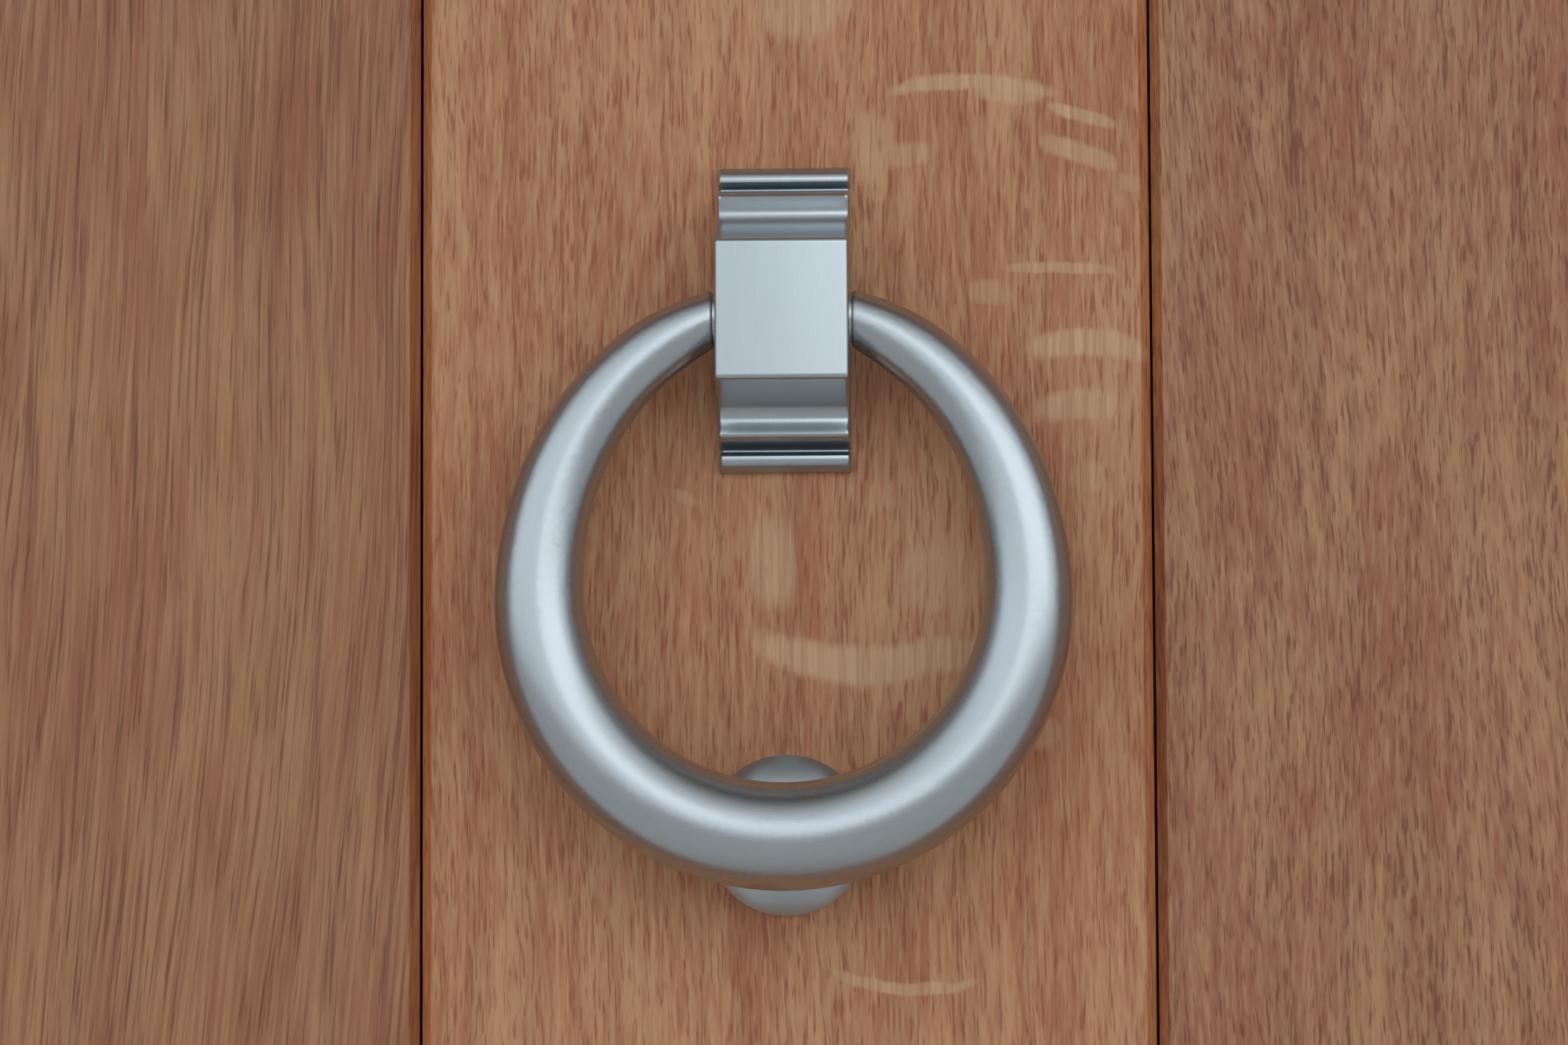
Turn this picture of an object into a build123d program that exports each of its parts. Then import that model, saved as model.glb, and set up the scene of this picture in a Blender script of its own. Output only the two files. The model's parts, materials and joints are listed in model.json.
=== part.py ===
from build123d import *

import math
import os

# An oak boarded door with its oak frame. The leaf is framed, ledged and braced: two stiles
# and three rails hold five upright boards. It opens inwards on three butt hinges, has a
# mortice sash lock with lever handles, and a steel ring knocker stands on its middle board.
# Millimetres. X runs to the right seen from outside, Y runs inwards, Z runs up.
# The origin is the middle of the sill's underside.

# Boards of the leaf
board_count = 5
board_cover = 145.0
board_thickness = 17.0
board_gap = 0.55
board_chamfer = 1.8
tongue_length = 8.0
tongue_thickness = 5.0
tongue_clearance = 0.2

# Framing of the leaf
leaf_height = 2032.0
leaf_thickness = 44.0
stile_width = 95.0
top_rail_height = 95.0
ledge_height = 195.0
lock_rail_rise = 820.0
brace_width = 95.0
tenon_thickness = 12.0
tenon_length = 60.0
tenon_haunch = 22.0
tenon_clearance = 0.5
peg_diameter = 9.5
peg_clearance = 0.1
peg_inset = 27.0
weather_height = 68.0
weather_depth = 42.0
weather_lift = 14.0
weather_clearance = 5.0

# Frame
jamb_face = 57.0
frame_depth = 95.0
stop_height = 13.0
stop_round = 3.0
leaf_gap = 3.0
seal_gap = 3.0
bottom_gap = 4.0
sill_depth = 142.0
sill_flat = 32.0
sill_upstand = 45.0
sill_nose = 26.0
upstand_depth = 13.0
frame_tenon_width = 16.0
frame_tenon_depth = 36.0
frame_tenon_length = 26.0
fixing_hole = 8.5
fixing_counterbore = 16.0
fixing_counterbore_depth = 12.0
fixing_end_distance = 260.0
fixing_count = 4
fixing_inset = 24.0

# Rubber seals in the frame's stops
seal_width = 8.0
seal_inset = 5.5
seal_clearance = 0.3
seal_tongue_width = 2.8
seal_tongue_depth = 5.0
groove_clearance = 0.1

# Butt hinges
hinge_height = 100.0
hinge_reach = 30.0
hinge_plate = 2.7
hinge_barrel = 12.0
hinge_standoff = 6.5
hinge_pin = 6.0
hinge_pin_clearance = 0.05
hinge_head = 9.0
knuckle_count = 5
knuckle_gap = 0.3
knuckle_clearance = 0.5
hinge_top_distance = 200.0
hinge_bottom_distance = 250.0
screw_head = 8.5
screw_shank = 4.0
screw_length = 32.0
screw_clearance = 0.1
screw_slot = 0.9

# Sash lock in the lock stile
backset = 57.0
case_depth = 78.0
case_thickness = 14.0
case_wall = 1.5
case_above_lever = 40.0
case_below_lever = 125.0
case_margin = 10.0
lock_clearance = 0.5
forend_width = 20.0
forend_thickness = 3.0
forend_overlap = 30.0
forend_screw_length = 18.0
slide_clearance = 0.3
latch_rise = 20.0
latch_height = 20.0
latch_thickness = 11.0
latch_throw = 12.0
latch_head_inside = 14.0
latch_tail_height = 5.0
latch_tail_thickness = 3.0
latch_lug_width = 4.0
latch_lug_drop = 7.5
spring_diameter = 8.4
spring_wire = 0.9
spring_turns = 5
follower_diameter = 19.0
follower_boss = 16.0
follower_arm_width = 6.0
follower_arm_length = 16.0
spindle_side = 8.0
spindle_clearance = 0.1
cylinder_drop = 92.0
cylinder_diameter = 17.0
cylinder_stem_width = 10.0
cylinder_stem_drop = 24.5
cylinder_projection = 3.0
cylinder_plug = 13.0
cam_gap = 10.0
cam_thickness = 8.0
cam_diameter = 15.0
cam_radius = 13.0
cam_pin = 5.0
cam_arm = 3.0
cam_notch = 8.0
turn_swing = 90.0
bolt_travel = 20.0
bolt_height = 30.0
bolt_thickness = 11.0
bolt_head_length = 32.0
bolt_tail_thickness = 4.0
bolt_tail_margin = 9.5
turn_length = 28.0
turn_blade = 7.0
turn_neck = 11.0

# Lever handles and their plates
rose_diameter = 52.0
rose_thickness = 8.0
rose_edge = 2.0
rose_screw_spacing = 38.0
rose_screw_head = 7.0
rose_screw_shank = 3.5
rose_screw_grip = 11.0
lever_diameter = 18.0
lever_clearance = 0.3
lever_projection = 45.0
lever_bend = 14.0
lever_length = 112.0
lever_sink = 6.0
lever_socket = 30.0
escutcheon_drop = 8.0

# Strike plate in the lock jamb
strike_thickness = 2.5
strike_width = 26.0
strike_margin = 26.0
strike_lip = 4.0
strike_hole_margin = 1.5
strike_pocket_margin = 3.0

# Ring knocker
knocker_rise = 39.5
bracket_width = 26.1
block_width = 25.9
bracket_half_height = 30.3
block_half_height = 13.0
block_projection = 22.0
block_edge = 1.3
block_corner_rounding = 1.0
block_edge_rounding = 0.9
cove_outer = 18.2
bead_outer = 24.5
bead_projection = 9.6
bead_hollow = 0.9
bead_arris = 1.1
quirk_outer = 26.7
lip_projection = 4.0
lip_outer = 28.5
lip_back = 1.4
arris_radius = 0.35
pivot_projection = 15.0
pivot_drop = 1.25
pivot_pin = 6.0
pivot_clearance = 0.05
pivot_grip = 7.0
collar_diameter = 9.5
collar_thickness = 0.4
collar_clearance = 0.1
ring_radius = 47.3
ring_upper_radius = 55.5
ring_bottom_diameter = 20.8
ring_end_diameter = 11.4
ring_end_rounding = 0.9
ring_taper_power = 1.6
ring_section_step = 13.0
button_diameter = 31.6
button_height = 9.2
button_edge = 2.4
ring_rest_gap = 0.3
stud_diameter = 6.0
stud_clearance = 0.4
stud_seat = 8.0
button_stud_seat = 5.5
bracket_stud_half_spacing = 11.0
washer_diameter = 16.0
washer_thickness = 1.6
nut_width = 10.0
nut_hex_height = 5.5
nut_height = 10.5

# Places worked out from the sizes above
board_span = board_count * board_cover
leaf_width = board_span + 2 * stile_width
half_leaf = leaf_width / 2
half_span = board_span / 2
inner_y = frame_depth / 2
outer_y = -frame_depth / 2
face_y = inner_y - leaf_thickness
board_back_y = face_y + board_thickness
board_mid_y = face_y + board_thickness / 2
ledge_thickness = leaf_thickness - board_thickness
tenon_y = (board_back_y + inner_y) / 2
stop_y = face_y - seal_gap
seal_groove_width = seal_tongue_width + 2 * groove_clearance
seal_groove_depth = seal_tongue_depth + groove_clearance
leaf_bottom = sill_flat + bottom_gap
leaf_top = leaf_bottom + leaf_height
head_rebate = leaf_top + leaf_gap
frame_top = head_rebate + jamb_face - stop_height
head_stop = head_rebate - stop_height
jamb_rebate = half_leaf + leaf_gap
jamb_stop = jamb_rebate - stop_height
half_frame = jamb_rebate + jamb_face - stop_height
lock_rail_middle = leaf_bottom + lock_rail_rise
lock_rail_top = lock_rail_middle + ledge_height / 2
lock_rail_foot = lock_rail_middle - ledge_height / 2
bottom_rail_middle = leaf_bottom + ledge_height / 2
bottom_rail_top = leaf_bottom + ledge_height
top_rail_foot = leaf_top - top_rail_height
top_rail_middle = leaf_top - top_rail_height / 2
lock_y = face_y + leaf_thickness / 2
lever_z = lock_rail_top + case_margin + case_below_lever
lever_x = half_leaf - backset
cylinder_z = lever_z - cylinder_drop
case_front = half_leaf - forend_thickness
case_back = case_front - case_depth
case_top = lever_z + case_above_lever
case_foot = lever_z - case_below_lever
latch_z = lever_z + latch_rise
bolt_foot = cylinder_z + cylinder_diameter / 2 + slide_clearance
bolt_z = bolt_foot + bolt_height / 2
bracket_z = (lock_rail_top + top_rail_foot) / 2 + knocker_rise
knocker_z = bracket_z - pivot_drop
pivot_y = face_y - pivot_projection
ring_end_x = block_width / 2 + collar_clearance + collar_thickness
ring_end_angle = 180 - math.degrees(math.asin(ring_end_x / ring_radius))
ring_centre_z = knocker_z - ring_upper_radius * math.sqrt(1 - (ring_end_x / ring_radius) ** 2)
button_z = ring_centre_z - ring_radius

os.makedirs("parts", exist_ok=True)


def write(piece, node):
    """Labels a finished piece and writes its file."""
    piece.part.label = node
    export_step(piece.part, f"parts/{node}.step")


def upright(y):
    """A plane across the door at depth y, seen from outside, with Z up."""
    return Plane.XZ.offset(-y)


def span_box(x_range, y_range, z_range, mode=Mode.ADD):
    """A block between two values on each axis, inside the part that is being built."""
    low = (x_range[0], y_range[0], z_range[0])
    high = (x_range[1], y_range[1], z_range[1])
    middle = [(a + b) / 2 for a, b in zip(low, high)]
    size = [abs(b - a) for a, b in zip(low, high)]
    with Locations(tuple(middle)):
        Box(*size, mode=mode)


def bore_y(x, z, diameter, y_range, mode=Mode.SUBTRACT):
    """A round bar or hole along Y between two depths."""
    with Locations((x, (y_range[0] + y_range[1]) / 2, z)):
        Cylinder(diameter / 2, abs(y_range[1] - y_range[0]), rotation=(90, 0, 0), mode=mode)


def bore_x(y, z, diameter, x_range, mode=Mode.SUBTRACT):
    """A round bar or hole along X between two places."""
    with Locations(((x_range[0] + x_range[1]) / 2, y, z)):
        Cylinder(diameter / 2, abs(x_range[1] - x_range[0]), rotation=(0, 90, 0), mode=mode)


# Butt hinges: the pins stand on the inner side, clear of the leaf's face
pin_x = -(half_leaf + leaf_gap / 2)
pin_y = inner_y + hinge_standoff
hinge_heights = [
    leaf_bottom + hinge_bottom_distance,
    (leaf_bottom + hinge_bottom_distance + leaf_top - hinge_top_distance) / 2,
    leaf_top - hinge_top_distance,
]
knuckle_height = hinge_height / knuckle_count


def screw_places(middle):
    """Four screws in each hinge plate, in two staggered columns: depth and height."""
    near = inner_y - hinge_reach * 0.3
    far = inner_y - hinge_reach * 0.72
    return [
        (far, middle + hinge_height * 0.4),
        (near, middle + hinge_height * 0.15),
        (near, middle - hinge_height * 0.15),
        (far, middle - hinge_height * 0.4),
    ]


def cut_hinge_seats(on_leaf):
    """The housings of the three hinge plates and the holes of their screws, in the part being built."""
    side = 1 if on_leaf else -1
    near_x = pin_x + side * leaf_gap / 2
    for middle in hinge_heights:
        span_box(
            (near_x - side, near_x + side * hinge_plate),
            (inner_y - hinge_reach, inner_y + 1),
            (middle - hinge_height / 2, middle + hinge_height / 2),
            mode=Mode.SUBTRACT,
        )
        for y, z in screw_places(middle):
            bore_x(
                y, z, screw_shank + screw_clearance, (near_x, near_x + side * (screw_length + 1)))


# The sash lock's places in the leaf, and what they cut out of the lock stile and the lock jamb
forend_foot = case_foot - forend_overlap
forend_top = case_top + forend_overlap
strike_foot = bolt_foot - strike_margin
strike_top = latch_z + latch_height / 2 + strike_margin


def euro_section(y, grow):
    """The profile of a lock cylinder, a round top over a narrow stem, on a plane at depth y."""
    radius = cylinder_diameter / 2 + grow
    stem = cylinder_stem_width / 2 + grow
    with BuildSketch(upright(y)) as section:
        with Locations((lever_x, cylinder_z)):
            Circle(radius)
        with Locations((lever_x, cylinder_z - cylinder_stem_drop / 2)):
            SlotCenterToCenter(
                cylinder_stem_drop - 2 * (cylinder_stem_width / 2), 2 * stem, rotation=90)
        with Locations((lever_x, cylinder_z - cylinder_stem_drop / 3)):
            Rectangle(2 * stem, cylinder_stem_drop / 2)
    return section.sketch


def cut_lock_seats():
    """The mortice, the forend's housing and the cross holes, in the lock stile being built."""
    half = case_thickness / 2 + lock_clearance
    span_box(
        (case_back - 2 * lock_clearance, half_leaf + 1),
        (lock_y - half, lock_y + half),
        (case_foot - lock_clearance, case_top + lock_clearance),
        mode=Mode.SUBTRACT,
    )
    span_box(
        (case_front, half_leaf + 1),
        (lock_y - forend_width / 2, lock_y + forend_width / 2),
        (forend_foot, forend_top),
        mode=Mode.SUBTRACT,
    )
    bore_y(lever_x, lever_z, lever_diameter + 2 * lever_clearance, (face_y - 1, inner_y + 1))
    extrude(euro_section(inner_y + 1, lock_clearance), amount=leaf_thickness + 2, mode=Mode.SUBTRACT)
    for z in (lever_z, cylinder_z - escutcheon_drop):
        for x in (lever_x - rose_screw_spacing / 2, lever_x + rose_screw_spacing / 2):
            bore_y(x, z, rose_screw_shank + screw_clearance, (face_y - 1, face_y + rose_screw_grip + 0.5))
            bore_y(x, z, rose_screw_shank + screw_clearance, (inner_y + 1, inner_y - rose_screw_grip - 0.5))
    for z in forend_screw_heights():
        bore_x(lock_y, z, screw_shank + screw_clearance, (case_front - forend_screw_length, half_leaf))


def forend_screw_heights():
    return [forend_foot + forend_overlap / 2, forend_top - forend_overlap / 2]


def strike_screw_heights():
    return [strike_foot + strike_margin * 0.4, strike_top - strike_margin * 0.4]


def cut_strike_seats():
    """The strike plate's housing and the pockets behind it, in the lock jamb being built."""
    span_box(
        (jamb_rebate - 1, jamb_rebate + strike_thickness),
        (lock_y - strike_width / 2, inner_y + 1),
        (strike_foot, strike_top),
        mode=Mode.SUBTRACT,
    )
    deep = strike_pocket_margin
    span_box(
        (jamb_rebate, half_leaf + latch_throw + deep),
        (lock_y - latch_thickness / 2 - deep, lock_y + latch_thickness / 2 + deep),
        (latch_z - latch_height / 2 - deep, latch_z + latch_height / 2 + deep),
        mode=Mode.SUBTRACT,
    )
    span_box(
        (jamb_rebate, half_leaf + bolt_travel + deep),
        (lock_y - bolt_thickness / 2 - deep, lock_y + bolt_thickness / 2 + deep),
        (bolt_z - bolt_height / 2 - deep, bolt_z + bolt_height / 2 + deep),
        mode=Mode.SUBTRACT,
    )
    for z in strike_screw_heights():
        bore_x(lock_y, z, screw_shank + screw_clearance, (jamb_rebate, jamb_rebate + screw_length + 1))


# The joints of rails and stiles, each with two pegs
rail_heights = {
    "top": (top_rail_middle, top_rail_height),
    "lock": (lock_rail_middle, ledge_height),
    "bottom": (bottom_rail_middle, ledge_height),
}


def peg_places(rail):
    middle, height = rail_heights[rail]
    return [middle - height / 4, middle + height / 4]


def tenon_half_height(rail):
    return rail_heights[rail][1] / 2 - tenon_haunch / 2


# Stiles: full thickness, grooved for the boards, morticed for the rails, pegged through
def make_stile(side):
    """side is -1 for the hinge stile and 1 for the lock stile."""
    with BuildPart() as stile:
        inside_x = side * half_span
        with BuildSketch(Plane.XY.offset(leaf_bottom)):
            with Locations((side * (half_leaf - stile_width / 2), face_y + leaf_thickness / 2)):
                Rectangle(stile_width, leaf_thickness)
            with Locations((inside_x, board_mid_y)):
                Rectangle(
                    2 * (tongue_length + tongue_clearance),
                    tongue_thickness + 2 * tongue_clearance,
                    mode=Mode.SUBTRACT,
                )
        extrude(amount=leaf_height)
        front_edge = stile.edges().filter_by(Axis.Z).filter_by(
            lambda edge: abs(edge.center().X - inside_x) < 0.01 and abs(edge.center().Y - face_y) < 0.01)
        chamfer(front_edge, board_chamfer)
        for rail, (middle, height) in rail_heights.items():
            half = tenon_half_height(rail)
            depth = tenon_length + tenon_clearance
            span_box(
                (inside_x, inside_x + side * depth),
                (tenon_y - tenon_thickness / 2, tenon_y + tenon_thickness / 2),
                (middle - half, middle + half),
                mode=Mode.SUBTRACT,
            )
            for z in peg_places(rail):
                bore_y(
                    inside_x + side * peg_inset, z, peg_diameter + peg_clearance, (face_y, inner_y))
        if side < 0:
            cut_hinge_seats(True)
        else:
            cut_lock_seats()
    return stile


# Rails: the top one is full thickness and grooved, the others lie behind the boards
def make_rail(rail, thickness, grooved):
    middle, height = rail_heights[rail]
    with BuildPart() as piece:
        with BuildSketch(Plane.YZ.offset(-half_span)):
            with Locations((inner_y - thickness / 2, middle)):
                Rectangle(thickness, height)
            if grooved:
                with Locations((board_mid_y, middle - height / 2)):
                    Rectangle(
                        tongue_thickness + 2 * tongue_clearance,
                        2 * (tongue_length + tongue_clearance),
                        mode=Mode.SUBTRACT,
                    )
        extrude(amount=board_span)
        if grooved:
            lower_front = piece.edges().filter_by(Axis.X).filter_by(
                lambda edge: abs(edge.center().Y - face_y) < 0.01
                and abs(edge.center().Z - (middle - height / 2)) < 0.01)
            chamfer(lower_front, board_chamfer)
        for side in (-1, 1):
            half = tenon_half_height(rail)
            span_box(
                (side * (half_span - 1), side * (half_span + tenon_length)),
                (tenon_y - tenon_thickness / 2, tenon_y + tenon_thickness / 2),
                (middle - half, middle + half),
            )
            for z in peg_places(rail):
                bore_y(
                    side * (half_span + peg_inset), z, peg_diameter + peg_clearance,
                    (face_y, inner_y))
    return piece


# Boards: tongued on the left and at the top, grooved on the right, with a V at each joint
def make_board(index):
    middle = (index - (board_count - 1) / 2) * board_cover
    width = board_cover - board_gap
    left = middle - width / 2
    right = middle + width / 2
    body_height = top_rail_foot - board_gap - leaf_bottom
    last = index == board_count - 1
    with BuildPart() as board:
        with BuildSketch(Plane.XY.offset(leaf_bottom)):
            with BuildLine():
                Polyline(
                    (left, board_back_y),
                    (left, face_y + board_chamfer),
                    (left + board_chamfer, face_y),
                    (right - board_chamfer, face_y),
                    (right, face_y + board_chamfer),
                    (right, board_back_y),
                    close=True,
                )
            make_face()
            with Locations((left, board_mid_y)):
                Rectangle(2 * tongue_length, tongue_thickness)
            with Locations((right, board_mid_y)):
                if last:
                    Rectangle(2 * tongue_length, tongue_thickness)
                else:
                    Rectangle(
                        2 * (tongue_length + tongue_clearance),
                        tongue_thickness + 2 * tongue_clearance,
                        mode=Mode.SUBTRACT,
                    )
        extrude(amount=body_height)
        head_z = leaf_bottom + body_height
        top_front = board.edges().filter_by(Axis.X).filter_by(
            lambda edge: abs(edge.center().Y - face_y) < 0.01 and abs(edge.center().Z - head_z) < 0.01)
        chamfer(top_front, board_chamfer)
        reach = 0 if last else tongue_length + tongue_clearance
        span_box(
            (left, right - reach),
            (board_mid_y - tongue_thickness / 2, board_mid_y + tongue_thickness / 2),
            (head_z - 1, head_z + tongue_length),
        )
        if index == (board_count - 1) // 2:
            for x, z in stud_places():
                bore_y(x, z, stud_diameter + stud_clearance, (face_y - 1, board_back_y + 1))
    return board


def stud_places():
    """The two studs of the knocker's bracket, then the one of its button."""
    return [
        (0, bracket_z + bracket_stud_half_spacing),
        (0, bracket_z - bracket_stud_half_spacing),
        (0, button_z),
    ]


# Braces: they rise from the hinge side and are cut to the corners between rails and stiles
def make_brace(foot_z, head_z, drilled):
    height = head_z - foot_z
    slope = math.degrees(math.atan2(height, board_span))
    with BuildPart() as brace:
        with BuildSketch(upright(inner_y)):
            with Locations((0, (foot_z + head_z) / 2)):
                Rectangle(board_span, height)
                Rectangle(2 * (board_span + height), brace_width, rotation=slope, mode=Mode.INTERSECT)
        extrude(amount=ledge_thickness)
        if drilled:
            for x, z in stud_places():
                bore_y(x, z, stud_diameter + stud_clearance, (board_back_y - 1, inner_y + 1))
    return brace


hinge_stile = make_stile(-1)
lock_stile = make_stile(1)
top_rail = make_rail("top", leaf_thickness, True)
lock_rail = make_rail("lock", ledge_thickness, False)
bottom_rail = make_rail("bottom", ledge_thickness, False)
upper_brace = make_brace(lock_rail_top, top_rail_foot, True)
lower_brace = make_brace(bottom_rail_top, lock_rail_foot, False)

with BuildPart() as leaf_pegs:
    for rail in rail_heights:
        for side in (-1, 1):
            for z in peg_places(rail):
                bore_y(
                    side * (half_span + peg_inset), z, peg_diameter, (face_y, inner_y), mode=Mode.ADD)

# Weatherboard across the foot of the leaf, between the frame's stops
with BuildPart() as weatherboard:
    weather_half = jamb_stop - weather_clearance
    weather_foot = leaf_bottom + weather_lift
    weather_front = face_y - weather_depth
    weather_nose_top = weather_foot + weather_height * 0.3
    weather_top_depth = weather_depth * 0.25
    with BuildSketch(Plane.YZ.offset(-weather_half)):
        with BuildLine():
            Polyline(
                (face_y - weather_top_depth, weather_foot + weather_height),
                (face_y, weather_foot + weather_height),
                (face_y, weather_foot),
                (weather_front, weather_foot),
                (weather_front, weather_nose_top),
            )
            Spline(
                (weather_front, weather_nose_top),
                (face_y - weather_top_depth, weather_foot + weather_height),
                tangents=[(0.4, 1), (0.15, 1)],
            )
        make_face()
        with Locations((weather_front + weather_depth / 4, weather_foot)):
            Circle(weather_depth / 14, mode=Mode.SUBTRACT)
    extrude(amount=2 * weather_half)

boards = [make_board(index) for index in range(board_count)]


# Frame: two jambs, a head and a sill, all rebated for the leaf
def sill_section(reach):
    """The sill's section, from its level inner part over the upstand to the rounded nose."""
    front = inner_y - sill_depth
    with BuildSketch(Plane.YZ.offset(-reach)) as section:
        with BuildLine():
            Polyline(
                (inner_y, 0),
                (inner_y, sill_flat),
                (stop_y, sill_flat),
                (stop_y, sill_upstand),
                (stop_y - upstand_depth, sill_upstand),
                (front, sill_nose),
                (front, 0),
                close=True,
            )
        make_face()
        nose = section.vertices().filter_by(
            lambda vertex: abs(vertex.Y - front) < 0.01 and vertex.Z > 1)
        fillet(nose, sill_nose / 4)
    return section.sketch


def frame_tenon(side, foot, top, mode):
    """A jamb's tenon between two heights, or the mortice for it."""
    tenon_x = side * (half_frame - (jamb_face - stop_height) / 2)
    middle_y = (stop_y + inner_y) / 2
    span_box(
        (tenon_x - frame_tenon_width / 2, tenon_x + frame_tenon_width / 2),
        (middle_y - frame_tenon_depth / 2, middle_y + frame_tenon_depth / 2),
        (foot, top),
        mode=mode,
    )


with BuildPart() as sill:
    extrude(sill_section(half_frame), amount=2 * half_frame)
    span_box(
        (-half_frame, half_frame),
        (stop_y - seal_groove_depth, stop_y),
        (leaf_bottom + seal_inset - seal_groove_width / 2, leaf_bottom + seal_inset + seal_groove_width / 2),
        mode=Mode.SUBTRACT,
    )
    with Locations((0, inner_y - sill_depth + sill_nose / 2, 0)):
        Cylinder(sill_nose / 8, 2 * half_frame, rotation=(0, 90, 0), mode=Mode.SUBTRACT)
    for side in (-1, 1):
        frame_tenon(side, sill_flat - frame_tenon_length, sill_flat + 1, Mode.SUBTRACT)

with BuildPart() as head:
    with BuildSketch(Plane.YZ.offset(-half_frame)):
        with BuildLine():
            Polyline(
                (outer_y, head_stop),
                (outer_y, frame_top),
                (inner_y, frame_top),
                (inner_y, head_rebate),
                (stop_y, head_rebate),
                (stop_y, head_stop),
                close=True,
            )
        make_face()
        with Locations((stop_y, leaf_top - seal_inset)):
            Rectangle(2 * seal_groove_depth, seal_groove_width, mode=Mode.SUBTRACT)
    extrude(amount=2 * half_frame)
    for side in (-1, 1):
        frame_tenon(side, head_rebate - 1, head_rebate + frame_tenon_length, Mode.SUBTRACT)


def fixing_heights():
    """Heights of the screws that hold a jamb in its wall, evenly spaced."""
    low = fixing_end_distance
    high = frame_top - fixing_end_distance
    step = (high - low) / (fixing_count - 1)
    return [low + step * index for index in range(fixing_count)]


fixing_y = outer_y + fixing_inset


def make_jamb(side):
    """side is -1 for the hinge jamb and 1 for the lock jamb."""
    with BuildPart() as jamb:
        with BuildSketch(Plane.XY):
            with BuildLine():
                Polyline(
                    (side * half_frame, outer_y),
                    (side * (jamb_stop + stop_round), outer_y),
                    (side * jamb_stop, outer_y + stop_round),
                    (side * jamb_stop, stop_y),
                    (side * jamb_rebate, stop_y),
                    (side * jamb_rebate, inner_y),
                    (side * half_frame, inner_y),
                    close=True,
                )
            make_face()
            with Locations((side * (half_leaf - seal_inset), stop_y)):
                Rectangle(seal_groove_width, 2 * seal_groove_depth, mode=Mode.SUBTRACT)
        extrude(amount=head_rebate)
        span_box(
            (side * (jamb_stop - 1), side * (half_frame + 1)),
            (outer_y - 1, stop_y),
            (head_stop, head_rebate + 1),
            mode=Mode.SUBTRACT,
        )
        extrude(sill_section(half_frame + 1), amount=2 * half_frame + 2, mode=Mode.SUBTRACT)
        frame_tenon(side, sill_flat - frame_tenon_length + 1, sill_flat + 1, Mode.ADD)
        frame_tenon(side, head_rebate - 1, head_rebate + frame_tenon_length - 1, Mode.ADD)
        for z in fixing_heights():
            bore_x(fixing_y, z, fixing_hole, (side * (jamb_stop - 1), side * (half_frame + 1)))
            bore_x(
                fixing_y, z, fixing_counterbore,
                (side * (jamb_stop - 1), side * (jamb_stop + fixing_counterbore_depth)))
        if side < 0:
            cut_hinge_seats(False)
        else:
            cut_strike_seats()
    return jamb


hinge_jamb = make_jamb(-1)
lock_jamb = make_jamb(1)

def seal_outline(along_x):
    """A seal's section about its own middle: a soft bead on a tongue."""
    body = seal_gap - seal_clearance
    if along_x:
        Rectangle(seal_width, body, align=(Align.CENTER, Align.MIN))
        Rectangle(seal_tongue_width, seal_tongue_depth, align=(Align.CENTER, Align.MAX))
    else:
        Rectangle(body, seal_width, align=(Align.MIN, Align.CENTER))
        Rectangle(seal_tongue_depth, seal_tongue_width, align=(Align.MAX, Align.CENTER))


# The side seals stand between the sill's seal and the head's
seal_foot = max(sill_upstand, leaf_bottom + seal_inset + seal_width / 2)
seal_top = min(head_stop, leaf_top - seal_inset - seal_width / 2)


def make_side_seal(side):
    with BuildPart() as seal:
        with BuildSketch(Plane.XY.offset(seal_foot)):
            with Locations((side * (half_leaf - seal_inset), stop_y)):
                seal_outline(True)
        extrude(amount=seal_top - seal_foot)
        front = stop_y + seal_gap - seal_clearance
        arrises = seal.edges().filter_by(Axis.Z).filter_by(
            lambda edge: abs(edge.center().Y - front) < 0.01)
        fillet(arrises, seal_gap * 0.4)
    return seal


def make_cross_seal(z):
    with BuildPart() as seal:
        reach = jamb_rebate
        with BuildSketch(Plane.YZ.offset(-reach)):
            with Locations((stop_y, z)):
                seal_outline(False)
        extrude(amount=2 * reach)
        front = stop_y + seal_gap - seal_clearance
        arrises = seal.edges().filter_by(Axis.X).filter_by(
            lambda edge: abs(edge.center().Y - front) < 0.01)
        fillet(arrises, seal_gap * 0.4)
    return seal


seal_hinge_side = make_side_seal(-1)
seal_lock_side = make_side_seal(1)
seal_head = make_cross_seal(leaf_top - seal_inset)
seal_sill = make_cross_seal(leaf_bottom + seal_inset)

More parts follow.
